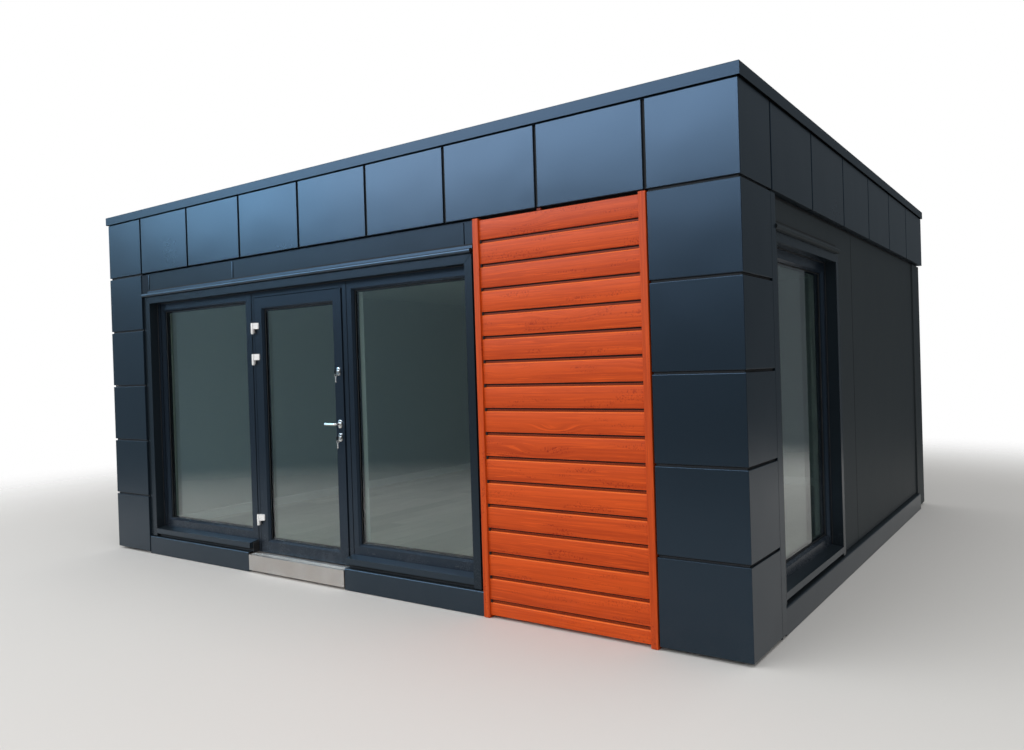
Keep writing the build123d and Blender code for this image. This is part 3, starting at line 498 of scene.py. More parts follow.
def two_sided_profile(label, colour, inside, axis, limit, above):
    """Frame profile: anthracite foil outside and white inside, told apart by where it is."""
    shader, place = new_finish(label)
    coat = placed("powder_coat", Place=place, Colour=rgba(colour), Roughness=0.24, Tone=0.10,
                  Waves=0.08, Grain=0.10)
    dusty = dusted(place, coat, 0.10)
    inner = maths("GREATER_THAN" if above else "LESS_THAN", axis_of(place, axis), limit)
    shade = tint(inner, dusty["Colour"], rgba(inside))
    settle(shader, shade, dusty["Roughness"], coat["Normal"], ior=1.42, specular_tint=sky_tint_on_gloss)


def timber(label, colours, pitch, upright, knots, shade=1.0):
    """Stained timber, with each board cut from another part of the tree."""
    shader, place = new_finish(label)
    if upright:
        along, count, rise = turned(place, 1), maths("FLOOR", times(axis_of(place, 0), 1.3)), 0.5
    else:
        level = maths("DIVIDE", less(axis_of(place, 2), board_first_edge), pitch)
        along, count, rise = place, maths("FLOOR", level), maths("FRACT", level)
    wood = placed("stained_wood", Along=along, Piece=count, Rise=rise, Knots=knots,
                  Light=rgba(colours.timber_light, shade), Dark=rgba(colours.timber_dark, shade))
    dusty = dusted(place, wood, 0.03, 0.4)
    settle(shader, dusty["Colour"], dusty["Roughness"], bumped(wood["Height"], 0.22, 0.0015), ior=1.22)


def glazed(label, colour):
    """Clear pane with a slight tint and a trace of dust, that lets lamp light through."""
    shader, place = new_finish(label)
    film = cloud(place, 3.0, 5.0, 0.6)
    shade = tint(times(film, 0.35), rgba(colour), rgba(colour, 0.97))
    rough = ramp(cloud(place, 9.0, 4.0, 0.6), 0.55, 0.9, 0.0, 0.012)
    settle(shader, shade, rough, transmission_weight=1.0, ior=1.5)
    path = add(shader.id_data, "LightPath").outputs
    see_through(shader, maths("MAXIMUM", path["Is Shadow Ray"], path["Is Diffuse Ray"]), rgba(colour, 0.84))


def brushed(label, colour, roughness, dust=0.0):
    """Brushed metal, dusty near the ground where asked."""
    shader, place = new_finish(label)
    metal = placed("brushed_metal", Along=place, Colour=rgba(colour), Roughness=roughness)
    dusty = dusted(place, metal, dust, 0.3)
    normal = bumped(metal["Height"], 0.12, 0.0004)
    settle(shader, dusty["Colour"], dusty["Roughness"], normal, metallic=1.0)


def painted(label, colour, stipple=0.12, **plain):
    """Painted board or joinery inside the room."""
    shader, place = new_finish(label)
    paint = placed("painted_board", Place=place, Colour=rgba(colour))
    settle(shader, paint["Colour"], paint["Roughness"], bumped(paint["Height"], stipple, 0.0006), **plain)


def plain_mineral(label, low, high, scale, roughness, relief, distance):
    """Rubber, membrane, cast steel or timber board: two tones and a rough relief."""
    shader, place = new_finish(label)
    patch = cloud(place, scale, 5.0, 0.6)
    grit = cloud(place, scale * 40.0, 3.0, 0.6)
    shade = tint(ramp(patch, 0.3, 0.7), rgba(low), rgba(high))
    rough = plus(roughness - 0.06, times(grit, 0.12), clamp=True)
    settle(shader, shade, rough, bumped(grit, relief, distance))


def planks(label, colour, width):
    """Floor planks that run from front to back, with fine joints and long grain."""
    shader, place = new_finish(label)
    along = turned(place, 2)
    sockets = {"Vector": along, "Color1": rgba(colour, 0.84), "Color2": rgba(colour, 1.16),
               "Mortar": rgba(colour, 0.30), "Scale": 1.0, "Mortar Size": 0.0014, "Mortar Smooth": 0.3,
               "Bias": 0.0, "Brick Width": 1.28, "Row Height": width}
    bricks = add(shader.id_data, "TexBrick", sockets, offset=0.37)
    grain = cloud(stretched(along, (1.6, 22.0, 1.0)), 3.0, 8.0, 0.68, 0.8)
    dark = times(ramp(grain, 0.42, 0.72), 0.42)
    shade = tint(dark, bricks.outputs["Color"], rgba(colour, 0.52))
    height = less(times(grain, 0.2), bricks.outputs["Fac"])
    settle(shader, shade, plus(0.38, times(grain, 0.18)), bumped(height, 0.3, 0.001))


def polished(label, colour, roughness):
    """Bright plated metal with faint smears."""
    shader, place = new_finish(label)
    smear = cloud(place, 60.0, 4.0, 0.6, 0.4)
    shade = tint(smear, rgba(colour), rgba(colour, 0.92))
    settle(shader, shade, plus(roughness, times(smear, 0.08)), metallic=1.0)


def moulded(label, colour, roughness):
    """Lacquered or moulded fitting with a very fine texture."""
    shader, place = new_finish(label)
    fine = cloud(place, 900.0, 2.0)
    patch = cloud(place, 30.0, 3.0)
    shade = tint(times(patch, 0.2), rgba(colour), rgba(colour, 0.82))
    settle(shader, shade, plus(roughness, times(fine, 0.1)), bumped(fine, 0.1, 0.0002))


def make_finishes(colours, sizes):
    """Every group and material, built once."""
    for build in (powder_coat_group, yard_dust_group, stained_wood_group, brushed_metal_group,
                  painted_board_group):
        build()
    inner_white = (0.62, 0.63, 0.61)
    for label, colour, roughness, tone, waves, grain, dust, ior in (
            ("cassette_coat", colours.cassette, 0.28, 0.10, 0.22, 0.03, 0.02, 1.50),
            ("coping_coat", colours.cassette, 0.34, 0.10, 0.15, 0.15, 0.0, 1.40),
            ("casing_coat", colours.panel, 0.26, 0.10, 0.10, 0.15, 0.04, 1.36),
            ("panel_coat", colours.panel, 0.30, 0.12, 0.25, 0.15, 0.0, 1.30),
            ("trim_coat", colours.panel, 0.30, 0.10, 0.10, 0.15, 0.02, 1.50),
            ("nose_coat", colours.panel, 0.30, 0.06, 0.05, 0.15, 0.0, 1.72)):
        coated(label, colour, roughness, tone, waves, grain, dust, ior=ior, specular_tint=sky_tint_on_gloss)
    coated("side_panel_coat", colours.side_panel, 0.50, 0.10, 0.20, 0.15, 0.0, ior=1.16)
    front_limit = -half_depth + frame_face + 0.070
    side_limit = half_width - frame_face - 0.070
    two_sided_profile("front_profile", colours.profile, inner_white, 1, front_limit, True)
    two_sided_profile("side_profile", colours.profile, inner_white, 0, side_limit, False)
    timber("board_timber", colours, sizes.board_pitch, False, 1.0)
    timber("trim_timber", colours, sizes.board_pitch, True, 0.3, 0.92)
    # A copy of the timber at a third of its brightness, laid on the rebates and the packer: painted shade
    # in recesses and under the fascia.
    timber("groove_timber_painted_shade", colours, sizes.board_pitch, False, 0.0, 0.34)
    glazed("pane_glass", colours.glass)
    brushed("threshold_metal", colours.threshold, 0.32, dust=0.2)
    brushed("spacer_metal", (0.55, 0.50, 0.44), 0.38)
    painted("wall_lining", colours.lining)
    # The ceiling is a lighter copy of the lining, so the top of the room reads brighter: painted light.
    painted("ceiling_board", rgba(colours.lining, 1.45))
    painted("gloss_joinery", (0.86, 0.87, 0.85), stipple=0.04, coat_weight=0.3)
    planks("floor_planks", colours.plank, sizes.plank_width)
    plain_mineral("gasket_rubber", (0.010, 0.010, 0.011), (0.018, 0.018, 0.019), 12.0, 0.55, 0.2, 0.0004)
    plain_mineral("wall_membrane", (0.006, 0.006, 0.007), (0.012, 0.012, 0.013), 3.0, 0.85, 0.4, 0.002)
    plain_mineral("roof_membrane_sheet", rgba(colours.roof_sheet, 0.85), colours.roof_sheet,
                  1.2, 0.72, 0.35, 0.003)
    plain_mineral("deck_board", (0.30, 0.22, 0.14), (0.38, 0.29, 0.19), 4.0, 0.7, 0.3, 0.002)
    plain_mineral("chassis_paint", (0.020, 0.021, 0.023), (0.034, 0.034, 0.036), 5.0, 0.5, 0.3, 0.001)
    plain_mineral("packer_pad", (0.020, 0.020, 0.020), (0.045, 0.044, 0.042), 9.0, 0.85, 0.5, 0.002)
    moulded("hinge_lacquer", (0.88, 0.88, 0.87), 0.28)
    # A near-black coat with almost no gloss: partly real black seals and spacers, partly painted shade in
    # the hairline joints, seams and mitres where it is laid.
    coated("black_seal_and_painted_shade", (0.0016, 0.0018, 0.0022), 0.60, 0.05, 0.0, 0.15, 0.0, ior=1.06)
    moulded("dark_plastic", (0.012, 0.014, 0.017), 0.40)
    polished("handle_plate", (0.80, 0.78, 0.75), 0.12)
    polished("key_nickel", (0.88, 0.86, 0.82), 0.30)


node_finishes = {
    "cassette_coat": ["front_fascia", "back_fascia", "right_fascia", "left_fascia", "corner_fascia",
                      "right_corner_cassettes", "left_corner_cassettes", "corner_jamb_strips"],
    "coping_coat": ["coping"],
    "panel_coat": ["front_wall_panels"],
    "side_panel_coat": ["right_wall_panels", "left_wall_panels", "back_wall_panels", "rear_corner_trims"],
    "casing_coat": ["front_casing", "side_casing"],
    "trim_coat": ["front_drip_rail", "side_drip_rail", "window_sills", "plinth_bands"],
    "front_profile": ["left_window_frame", "right_window_frame", "door_frame", "door_leaf"],
    "side_profile": ["side_window_frame"],
    "board_timber": ["feature_boards"],
    "trim_timber": ["feature_trims"],
    "pane_glass": ["left_window_glass", "right_window_glass", "side_window_glass", "door_glass"],
    "threshold_metal": ["door_threshold"],
    "wall_lining": ["wall_linings"],
    "ceiling_board": ["ceiling_lining"],
    "gloss_joinery": ["skirting", "window_reveals", "door_post"],
    "floor_planks": ["floor_finish"],
    "wall_membrane": ["front_wall_left", "front_wall_right", "front_wall_head", "front_wall_upstands",
                      "right_wall_front", "right_wall_rear", "right_wall_head", "right_wall_upstand",
                      "left_wall", "back_wall", "parapet"],
    "roof_membrane_sheet": ["roof_membrane", "roof_deck"],
    "deck_board": ["floor_deck"],
    "chassis_paint": ["chassis_rails", "chassis_joists"],
    "packer_pad": ["support_packers"],
    "hinge_lacquer": ["hinge_barrels", "hinge_flags"],
    "handle_plate": ["lever_handle", "door_roses", "door_locks"],
}


# Shaping helpers

def place_piece(bm, label, finish, wall=None, body="cabin", stands_for=(), sharp=14.0):
    """Turn a bmesh into a finished piece of the cabin that rides on a body."""
    if wall is not None:
        bmesh.ops.transform(bm, matrix=wall, verts=bm.verts[:])
    bmesh.ops.recalc_face_normals(bm, faces=bm.faces[:])
    mesh = bpy.data.meshes.new(label)
    bm.to_mesh(mesh)
    bm.free()
    mesh.shade_smooth()
    mesh.set_sharp_from_angle(angle=math.radians(sharp))
    piece = bpy.data.objects.new(label, mesh)
    bpy.context.scene.collection.objects.link(piece)
    mesh.materials.append(finishes[finish])
    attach(piece, body)
    if stands_for:
        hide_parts(*stands_for)


def new_part():
    """A loose bmesh that will be added to a piece."""
    return bmesh.new()


def join_part(bm, part, matrix=None):
    """Add a shaped part to a piece, moved where asked."""
    if matrix is not None:
        bmesh.ops.transform(part, matrix=matrix, verts=part.verts[:])
    bmesh.ops.recalc_face_normals(part, faces=part.faces[:])
    held = bpy.data.meshes.new("held")
    part.to_mesh(held)
    part.free()
    bm.from_mesh(held)
    bpy.data.meshes.remove(held)


def grow(bm, faces, vector):
    """Extrude faces along a vector and give the new end faces."""
    made = bmesh.ops.extrude_face_region(bm, geom=faces)["geom"]
    verts = [item for item in made if isinstance(item, bmesh.types.BMVert)]
    bmesh.ops.translate(bm, verts=verts, vec=vector)
    return [item for item in made if isinstance(item, bmesh.types.BMFace)]


def round_edges(bm, edges, radius, segments=2):
    """Bevel a set of edges."""
    bmesh.ops.bevel(bm, geom=edges, offset=radius, offset_type="OFFSET", segments=segments, profile=0.5,
                    affect="EDGES", clamp_overlap=True, material=-1)


def about(middle, reach):
    """A span that reaches as far to both sides of its middle."""
    return middle - reach, middle + reach


def edges_within(part, test):
    """The edges of a part that have both ends where a test holds."""
    return [edge for edge in part.edges if all(test(vert.co) for vert in edge.verts)]


def add_slab(bm, *measures, wall=None):
    """Add a slab to a piece, on a wall where asked."""
    join_part(bm, slab(*measures), wall)


def bar(outline, span, radius=0.0, segments=2, picked=None):
    """A length of constant section, from its (v, z) corners, with its long edges rounded."""
    part = new_part()
    face = part.faces.new([part.verts.new((span[0], v, z)) for v, z in outline])
    grow(part, [face], (span[1] - span[0], 0, 0))
    if radius:
        edges = [edge for edge in part.edges
                 if abs(edge.verts[0].co.x - edge.verts[1].co.x) > level_match]
        if picked:
            edges = [edge for edge in edges if picked(edge.verts[0].co)]
        round_edges(part, edges, radius, segments)
    return part


def slab(u_span, v_span, z_span, radius=0.0, segments=2):
    """A block with all of its edges rounded."""
    part = new_part()
    bmesh.ops.create_cube(part, size=1.0)
    sizes = [span[1] - span[0] for span in (u_span, v_span, z_span)]
    middle = [(span[1] + span[0]) / 2 for span in (u_span, v_span, z_span)]
    bmesh.ops.scale(part, vec=sizes, verts=part.verts[:])
    bmesh.ops.translate(part, vec=middle, verts=part.verts[:])
    if radius:
        round_edges(part, part.edges[:], radius, segments)
    return part


def ring(u_span, z_span, v_span, width, radius=0.0):
    """A mitred frame of rectangular section round an opening; the spans are its inner edges."""
    part = new_part()
    corners = [(u_span[0] - width, z_span[0] - width), (u_span[1] + width, z_span[0] - width),
               (u_span[1] + width, z_span[1] + width), (u_span[0] - width, z_span[1] + width)]
    face = part.faces.new([part.verts.new((u, v_span[0], z)) for u, z in corners])
    part.normal_update()
    bmesh.ops.inset_region(part, faces=[face], thickness=width, use_even_offset=True, use_boundary=True)
    bmesh.ops.delete(part, geom=[face], context="FACES_ONLY")
    grow(part, part.faces[:], (0, v_span[1] - v_span[0], 0))
    if radius:
        front = edges_within(part, lambda co: abs(co.y - v_span[0]) < level_match)
        round_edges(part, [edge for edge in front if edge.calc_face_angle(0) > fold_angle], radius)
    return part


def disc(u, z, radius, v_span, rim=0.0, both=False, segments=32):
    """A round boss at right angles to a wall, with its outer rim rounded."""
    part = new_part()
    depth = v_span[1] - v_span[0]
    turn = Matrix.Translation((u, (v_span[0] + v_span[1]) / 2, z)) @ Matrix.Rotation(quarter, 4, "X")
    bmesh.ops.create_cone(part, cap_ends=True, segments=segments, radius1=radius, radius2=radius,
                          depth=depth, matrix=turn)
    if rim:
        ends = v_span if both else v_span[:1]
        edges = [edge for edge in part.edges
                 if any(all(abs(vert.co.y - end) < level_match for vert in edge.verts) for end in ends)]
        round_edges(part, edges, rim, 3)
    return part


# Cladding

def bowed_grid(part, wide, high, bow, lean):
    """A sheet of small faces in the u-z plane, bowed towards the viewer in its middle."""
    made = bmesh.ops.create_grid(part, x_segments=10, y_segments=8, size=0.5)
    verts = made["verts"]
    for vert in verts:
        across = math.sin(math.pi * (vert.co.x + 0.5)) ** 1.5
        upward = math.sin(math.pi * (vert.co.y + 0.5)) ** 1.5
        vert.co.z = bow * across * upward * (1.0 + lean * vert.co.x)
    bmesh.ops.scale(part, vec=(wide, high, 1.0), verts=verts)
    bmesh.ops.rotate(part, cent=(0, 0, 0), matrix=Matrix.Rotation(quarter, 3, "X"), verts=verts)
    return verts


def fold_rims(part, outside, sizes):
    """Round the sharp edges on the outside of a tray."""
    rims = [edge for edge in edges_within(part, outside) if edge.calc_face_angle(0) > fold_angle]
    round_edges(part, rims, sizes.fold_radius, 3)


def cassette(u_span, z_span, sizes, chance):
    """A folded tray: a bowed face with rounded folds and returns towards the wall."""
    part = new_part()
    wide, high = u_span[1] - u_span[0], z_span[1] - z_span[0]
    bow = chance.uniform(0.1, 1.0) * sizes.face_bow
    verts = bowed_grid(part, wide, high, bow, chance.uniform(-0.8, 0.8))
    middle = ((u_span[0] + u_span[1]) / 2, 0, (z_span[0] + z_span[1]) / 2)
    bmesh.ops.translate(part, vec=middle, verts=verts)
    bmesh.ops.solidify(part, geom=part.faces[:], thickness=core_face - sheet_metal)
    fold_rims(part, lambda co: co.y < face_depth, sizes)
    return part


def corner_tray(front_leg, side_leg, z_span, sizes, chance):
    """A folded tray that wraps the right front corner, which is at u = v = 0."""
    part = new_part()
    high = z_span[1] - z_span[0]
    middle = (z_span[0] + z_span[1]) / 2
    bow = chance.uniform(0.1, 1.0) * sizes.face_bow
    verts = bowed_grid(part, front_leg, high, bow, chance.uniform(-0.6, 0.6))
    bmesh.ops.translate(part, vec=(-front_leg / 2, 0, middle), verts=verts)
    side = bowed_grid(part, side_leg, high, bow * 0.7, chance.uniform(-0.6, 0.6))
    bmesh.ops.rotate(part, cent=(0, 0, 0), matrix=Matrix.Rotation(quarter, 3, "Z"), verts=side)
    bmesh.ops.translate(part, vec=(0, side_leg / 2, middle), verts=side)
    bmesh.ops.remove_doubles(part, verts=part.verts[:], dist=0.0005)
    bmesh.ops.solidify(part, geom=part.faces[:], thickness=core_face - sheet_metal)
    fold_rims(part, lambda co: co.y < face_depth or co.x > -face_depth, sizes)
    return part


def panel_spans(first, last, count):
    """Equal cassettes between two end joints."""
    pitch = (last - first) / count
    return [(first + number * pitch + column_gap / 2, first + (number + 1) * pitch - column_gap / 2)
            for number in range(count)]


def build_cassettes(sizes):
    """All fascia cassettes and both stacks of corner cassettes."""
    chance = random.Random(cassette_seed)
    joint = corner_front_leg + column_gap / 2
    front_spans = panel_spans(joint, body_width - joint, front_panel_count)
    side_spans = panel_spans(fascia_front_corner + column_gap / 2,
                             body_depth - fascia_rear_corner - column_gap / 2, side_panel_count)
    heights = (fascia_low, fascia_high)
    rows = (("front_fascia", front_spans, front_wall), ("back_fascia", front_spans, back_wall),
            ("right_fascia", side_spans, right_wall), ("left_fascia", side_spans, left_wall))
    for node, spans, wall in rows:
        bm = new_part()
        for span in spans:
            join_part(bm, cassette(span, heights, sizes, chance))
        place_piece(bm, f"{node}_cassettes", "cassette_coat", wall, stands_for=[node])
    bm = new_part()
    for leg, turn in ((fascia_front_corner, unmoved), (fascia_rear_corner, mirror_y)):
        for side in both_sides:
            tray = corner_tray(corner_front_leg, leg, heights, sizes, chance)
            join_part(bm, tray, side @ turn @ right_corner)
    place_piece(bm, "corner_fascia_cassettes", "cassette_coat",
                stands_for=["corner_fascia"])
    for node, side in zip(("right_corner_cassettes", "left_corner_cassettes"), both_sides):
        bm = new_part()
        for row in range(row_count):
            low = row_base + row * row_pitch + (row_gap / 2 if row else 0)
            high = row_base + (row + 1) * row_pitch - row_gap / 2
            tray = corner_tray(corner_front_leg, corner_side_leg, (low, high), sizes, chance)
            join_part(bm, tray, side @ right_corner)
        place_piece(bm, f"{node}_folded", "cassette_coat", stands_for=[node])


def build_joint_backers():
    """Black strips set back in the open joints between the cassettes."""
    near, far = 0.013, core_face - sheet_metal
    bm = new_part()
    for row in range(1, row_count + 1):
        middle = row_base + row * row_pitch
        heights = about(middle, 0.0074)
        for side in both_sides:
            corner = side @ right_corner
            add_slab(bm, (0.004 - corner_front_leg, -near), (near, far), heights, wall=corner)
            add_slab(bm, (-far, -near), (far + 0.0002, corner_side_leg - 0.004), heights, wall=corner)
    joint = corner_front_leg + column_gap / 2
    pitch = (body_width - 2 * joint) / front_panel_count
    heights = (fascia_low + 0.003, fascia_high - 0.003)
    half = column_gap / 2 - 0.0006
    for number in range(front_panel_count + 1):
        u = joint + number * pitch
        for wall in (front_wall, back_wall):
            add_slab(bm, about(u, half), (near, far), heights, wall=wall)
    first = fascia_front_corner + column_gap / 2
    pitch = (body_depth - fascia_rear_corner - column_gap / 2 - first) / side_panel_count
    for number in range(side_panel_count + 1):
        u = first + number * pitch
        for wall in side_walls:
            add_slab(bm, about(u, half), (near, far), heights, wall=wall)
    place_piece(bm, "joint_backers", "wall_membrane")


def build_coping():
    """Pressed capping in four mitred lengths, with a stiffened outer edge."""
    low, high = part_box("coping")
    nose, under, lip = 0.00001 - coping_reach, high.z - thick_metal, high.z - coping_lip
    back, front = coping_depth - thick_metal, thick_metal - coping_reach
    outline = [(nose, low.z), (nose, high.z), (coping_depth, high.z), (coping_depth, lip), (back, lip),
               (back, under), (front, under), (front, low.z)]
    bm = new_part()
    for wall, length in walls_and_lengths:
        part = bar(outline, (-coping_reach, length + coping_reach), 0.004, 3,
                   picked=lambda co: co.z > high.z - 0.001)
        for end, slope in ((-coping_reach, 1), (length + coping_reach, -1)):
            everything = part.verts[:] + part.edges[:] + part.faces[:]
            mitre_start = (end + slope * 0.0007, -coping_reach, 0)
            cut = bmesh.ops.bisect_plane(part, geom=everything, plane_co=mitre_start,
                                         plane_no=(-slope, 1, 0), clear_outer=True)["geom_cut"]
            rim = [item for item in cut if isinstance(item, bmesh.types.BMEdge)]
            bmesh.ops.edgenet_fill(part, edges=rim)
        join_part(bm, part, wall)
    place_piece(bm, "coping_lengths", "coping_coat", stands_for=["coping"])


def hood(span):
    """Rounded drip hood of folded sheet, open at its ends."""
    part = new_part()
    nose_v = -0.010
    line = [(core_face, hood_high), (nose_v, hood_high), (nose_v, hood_low), (core_face, hood_low)]
    verts = [part.verts.new((span[0], v, z)) for v, z in line]
    edges = [part.edges.new(pair) for pair in zip(verts, verts[1:])]
    made = bmesh.ops.extrude_edge_only(part, edges=edges)["geom"]
    moved = [item for item in made if isinstance(item, bmesh.types.BMVert)]
    bmesh.ops.translate(part, verts=moved, vec=(span[1] - span[0], 0, 0))
    nose = edges_within(part, lambda co: abs(co.y - nose_v) < level_match)
    round_edges(part, [edge for edge in nose if not edge.is_boundary], 0.0148, 6)
    bmesh.ops.recalc_face_normals(part, faces=part.faces[:])
    centre = sum((face.calc_center_median() for face in part.faces), Vector()) / len(part.faces)
    nearest = min(part.faces, key=lambda face: face.calc_center_median().y)
    if nearest.normal.dot(nearest.calc_center_median() - centre) < 0:
        bmesh.ops.reverse_faces(part, faces=part.faces[:])
    bmesh.ops.solidify(part, geom=part.faces[:], thickness=sheet_metal)
    return part


def build_hoods():
    """Drip hoods over the front opening and the side window, with their upstand strips, and black fills
    that paint shade inside the open hood ends and over the upstands.
    """
    front_span = (corner_front_leg + 0.006, opening_right + casing_width + 0.006)
    side_span = (corner_side_leg + 0.083, side_window_end + 0.024)
    painted_shade_fill = new_part()
    for label, span, joints, wall, node, finish in (
            ("front_drip_hood", front_span, hood_joints, front_wall, "front_drip_rail", "nose_coat"),
            ("side_drip_hood", side_span, (), right_wall, "side_drip_rail", "side_panel_coat")):
        bm = new_part()
        ends = [span[0], *joints, span[1]]
        for start, end in zip(ends, ends[1:]):
            length = (start + (0.0012 if start > span[0] else 0), end - (0.0012 if end < span[1] else 0))
            join_part(bm, hood(length))
        add_slab(bm, span, upstand_v, (hood_high, plate_top - 0.0055), 0.001)
        place_piece(bm, label, finish, wall, stands_for=[node])
        # Black fill inside each hood, painted shade for its open ends, and a black strip over its upstand,
        # partly a seal and partly painted shade of the joint.
        inside = (span[0] + 0.0015, span[1] - 0.0015)
        add_slab(painted_shade_fill, inside, (-0.0072, core_face - 0.001), (hood_low + 0.0026, hood_high - 0.0026),
                 0.0120, 4, wall=wall)
        add_slab(painted_shade_fill, inside, (0.0262, 0.0298), (plate_top - 0.0054, plate_top + 0.0044), wall=wall)
    place_piece(painted_shade_fill, "hood_shade_fills", "wall_membrane")


def build_plinth():
    """Folded plinth bands with a rounded nosing along their top edge."""
    bm = new_part()
    foot, under, back = band_foot + thick_metal, band_top - thick_metal, band_face + thick_metal
    outline = [(band_face, band_foot), (core_face, band_foot), (core_face, foot), (back, foot),
               (back, under - 0.007), (back + 0.006, under), (core_face, under), (core_face, band_top),
               (band_face, band_top)]
    back_start = 0.410
    bands = ((front_wall, (0.530, 1.938)), (front_wall, (3.050, 4.318)), (right_wall, (0.561, 5.126)),
             (left_wall, (0.561, 5.126)), (back_wall, (back_start, body_width - back_start)))
    for wall, span in bands:
        band = bar(outline, span, 0.009, 5,
                   picked=lambda co: co.y < band_face + 0.001 and co.z > band_top - 0.001)
        join_part(bm, band, wall)
    place_piece(bm, "plinth_bands_folded", "trim_coat", stands_for=["plinth_bands"])


def build_joint_strips():
    """Cover strips in the joints of the cladding, and sealant beside the frames."""
    bm = new_part()
    for u in lintel_joints:
        add_slab(bm, about(u, joint_reach), (0.029, 0.049), (plate_top + 0.002, lintel_top), 0.0008)
        add_slab(bm, (u + 0.006, u + 0.017), (0.0245, 0.0298), (plate_top + 0.005, 2.509), 0.0045, 4)
    place_piece(bm, "lintel_joint_strips", "nose_coat", front_wall)
    bm = new_part()
    add_slab(bm, (0.531, 4.317), (0.0302, 0.0495), (2.5115, 2.5215), 0.0008, wall=front_wall)
    closing = slab((0.5305, 0.5940), (0.0060, 0.0298), (hood_high + 0.0005, lintel_top))
    far = [vert for vert in closing.verts if vert.co.x > 0.59 and vert.co.y < 0.02]
    bmesh.ops.translate(closing, verts=far, vec=(0, 0.0225, 0))
    join_part(bm, closing, front_wall)
    place_piece(bm, "head_flashing", "panel_coat")
    fillers, side_joints, jamb_joints = new_part(), new_part(), new_part()
    for wall, length in walls_and_lengths:
        add_slab(fillers, (0.007, length - 0.007), (0.006, 0.012), (3.0195, 3.0270), wall=wall)
    for wall in side_walls:
        # A near-black strip in the seam between the side sheets: painted shade of the seam.
        add_slab(side_joints, about(side_panel_joint, joint_reach), (0.0441, 0.0495),
                 (0.169, lintel_top), wall=wall)
        add_slab(jamb_joints, (corner_side_leg - 0.0004, corner_side_leg + 0.0064), (0.0006, 0.0100),
                 (0.010, 2.508), wall=wall)
    place_piece(fillers, "coping_fillers", "coping_coat")
    place_piece(side_joints, "side_joint_strips", "black_seal_and_painted_shade")
    place_piece(jamb_joints, "jamb_joint_strips", "cassette_coat")
    bm = new_part()
    reach = casing_width / 2
    for u, lean in ((opening_right + reach, -45), (opening_left - reach, 45)):
        corner = Matrix.Translation((u, 0, opening_head + reach))
        tilted = corner @ Matrix.Rotation(math.radians(lean), 4, "Y")
        # A near-black strip on each casing mitre: painted shade of its hairline gap.
        add_slab(bm, (-0.034, 0.034), (0.0192, 0.0199), (-0.0012, 0.0012), wall=front_wall @ tilted)
    place_piece(bm, "casing_mitre_lines", "black_seal_and_painted_shade")
    bm = new_part()
    bead_v = (0.0935, 0.0995)
    for wall, low, high in ((front_wall, opening_left, opening_right),
                            (right_wall, side_window_start, side_window_end)):
        for u, inner in ((low - 0.0005, 0.004), (high + 0.0005, -0.004)):
            span = tuple(sorted((u, u + inner)))
            add_slab(bm, span, bead_v, (sill_level + 0.004, opening_head), 0.0012, wall=wall)
        add_slab(bm, (low, high), bead_v, (opening_head - 0.004, opening_head), 0.0012, wall=wall)
    place_piece(bm, "frame_sealant", "gasket_rubber")


# Timber panel

def build_boards(sizes):
    """Horizontal boards with an eased, rebated top edge and a slit above it; black fills in the slits and
    darkened timber on the rebates are painted shade.
    """
    low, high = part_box("feature_boards")
    span = (low.x + half_width, high.x + half_width)
    face = low.y + half_depth
    edges = [low.z]
    level = board_first_edge
    while level < high.z - 0.02:
        edges.append(level)
        level += sizes.board_pitch
    edges.append(high.z)
    bm, painted_slit_shade, painted_rebate_shade = new_part(), new_part(), new_part()
    inside = (span[0] + 0.0005, span[1] - 0.0005)
    for number, (bottom, top) in enumerate(zip(edges, edges[1:])):
        if number < len(edges) - 2:
            shoulder = top - 0.021
            tongue = top - 0.0095
            outline = [(face, bottom), (face, shoulder - 0.005), (face + 0.005, shoulder),
                       (face + 0.010, shoulder), (face + 0.010, tongue), (core_face, tongue),
                       (core_face, bottom)]
            # Black fills in the slit behind each tongue and at the left end of each groove: painted shade.
            add_slab(painted_slit_shade, inside, (face + 0.016, core_face - 0.001), (tongue + 0.0004, top - 0.0004))
            # Darkened timber on each rebate face: painted shade in the recess.
            add_slab(painted_rebate_shade, inside, (face + 0.0092, face + 0.0102), (shoulder + 0.0004, tongue))
            add_slab(painted_slit_shade, (inside[0], span[0] + 0.0125), (face + 0.0020, face + 0.0090),
                     (shoulder + 0.0004, top - 0.0004))
        else:
            outline = [(face, bottom), (face, top), (core_face, top), (core_face, bottom)]
        join_part(bm, bar(outline, span, sizes.board_rounding, 3, picked=lambda co: co.y < face + 0.006))
    # The packer under the fascia joint is in the darkened timber: painted shade under the fascia.
    packer = slab((4.806, 4.834), (0.008, 0.028), (high.z, high.z + 0.016), 0.002)
    place_piece(packer, "timber_packer", "groove_timber_painted_shade", front_wall)
    place_piece(bm, "timber_boards", "board_timber", front_wall,
                stands_for=["feature_boards"], sharp=25.0)
    place_piece(painted_slit_shade, "board_slits", "wall_membrane", front_wall)
    place_piece(painted_rebate_shade, "board_rebates", "groove_timber_painted_shade", front_wall)


# Glazing

def pane_edges(node, axis, inset):
    """The edges of a pane in its own wall, drawn in by an inset: its u span and its z span."""
    low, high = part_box(node)
    half = (half_width, half_depth)[axis]
    return (low[axis] + half + inset, high[axis] + half - inset), (low.z + inset, high.z - inset)


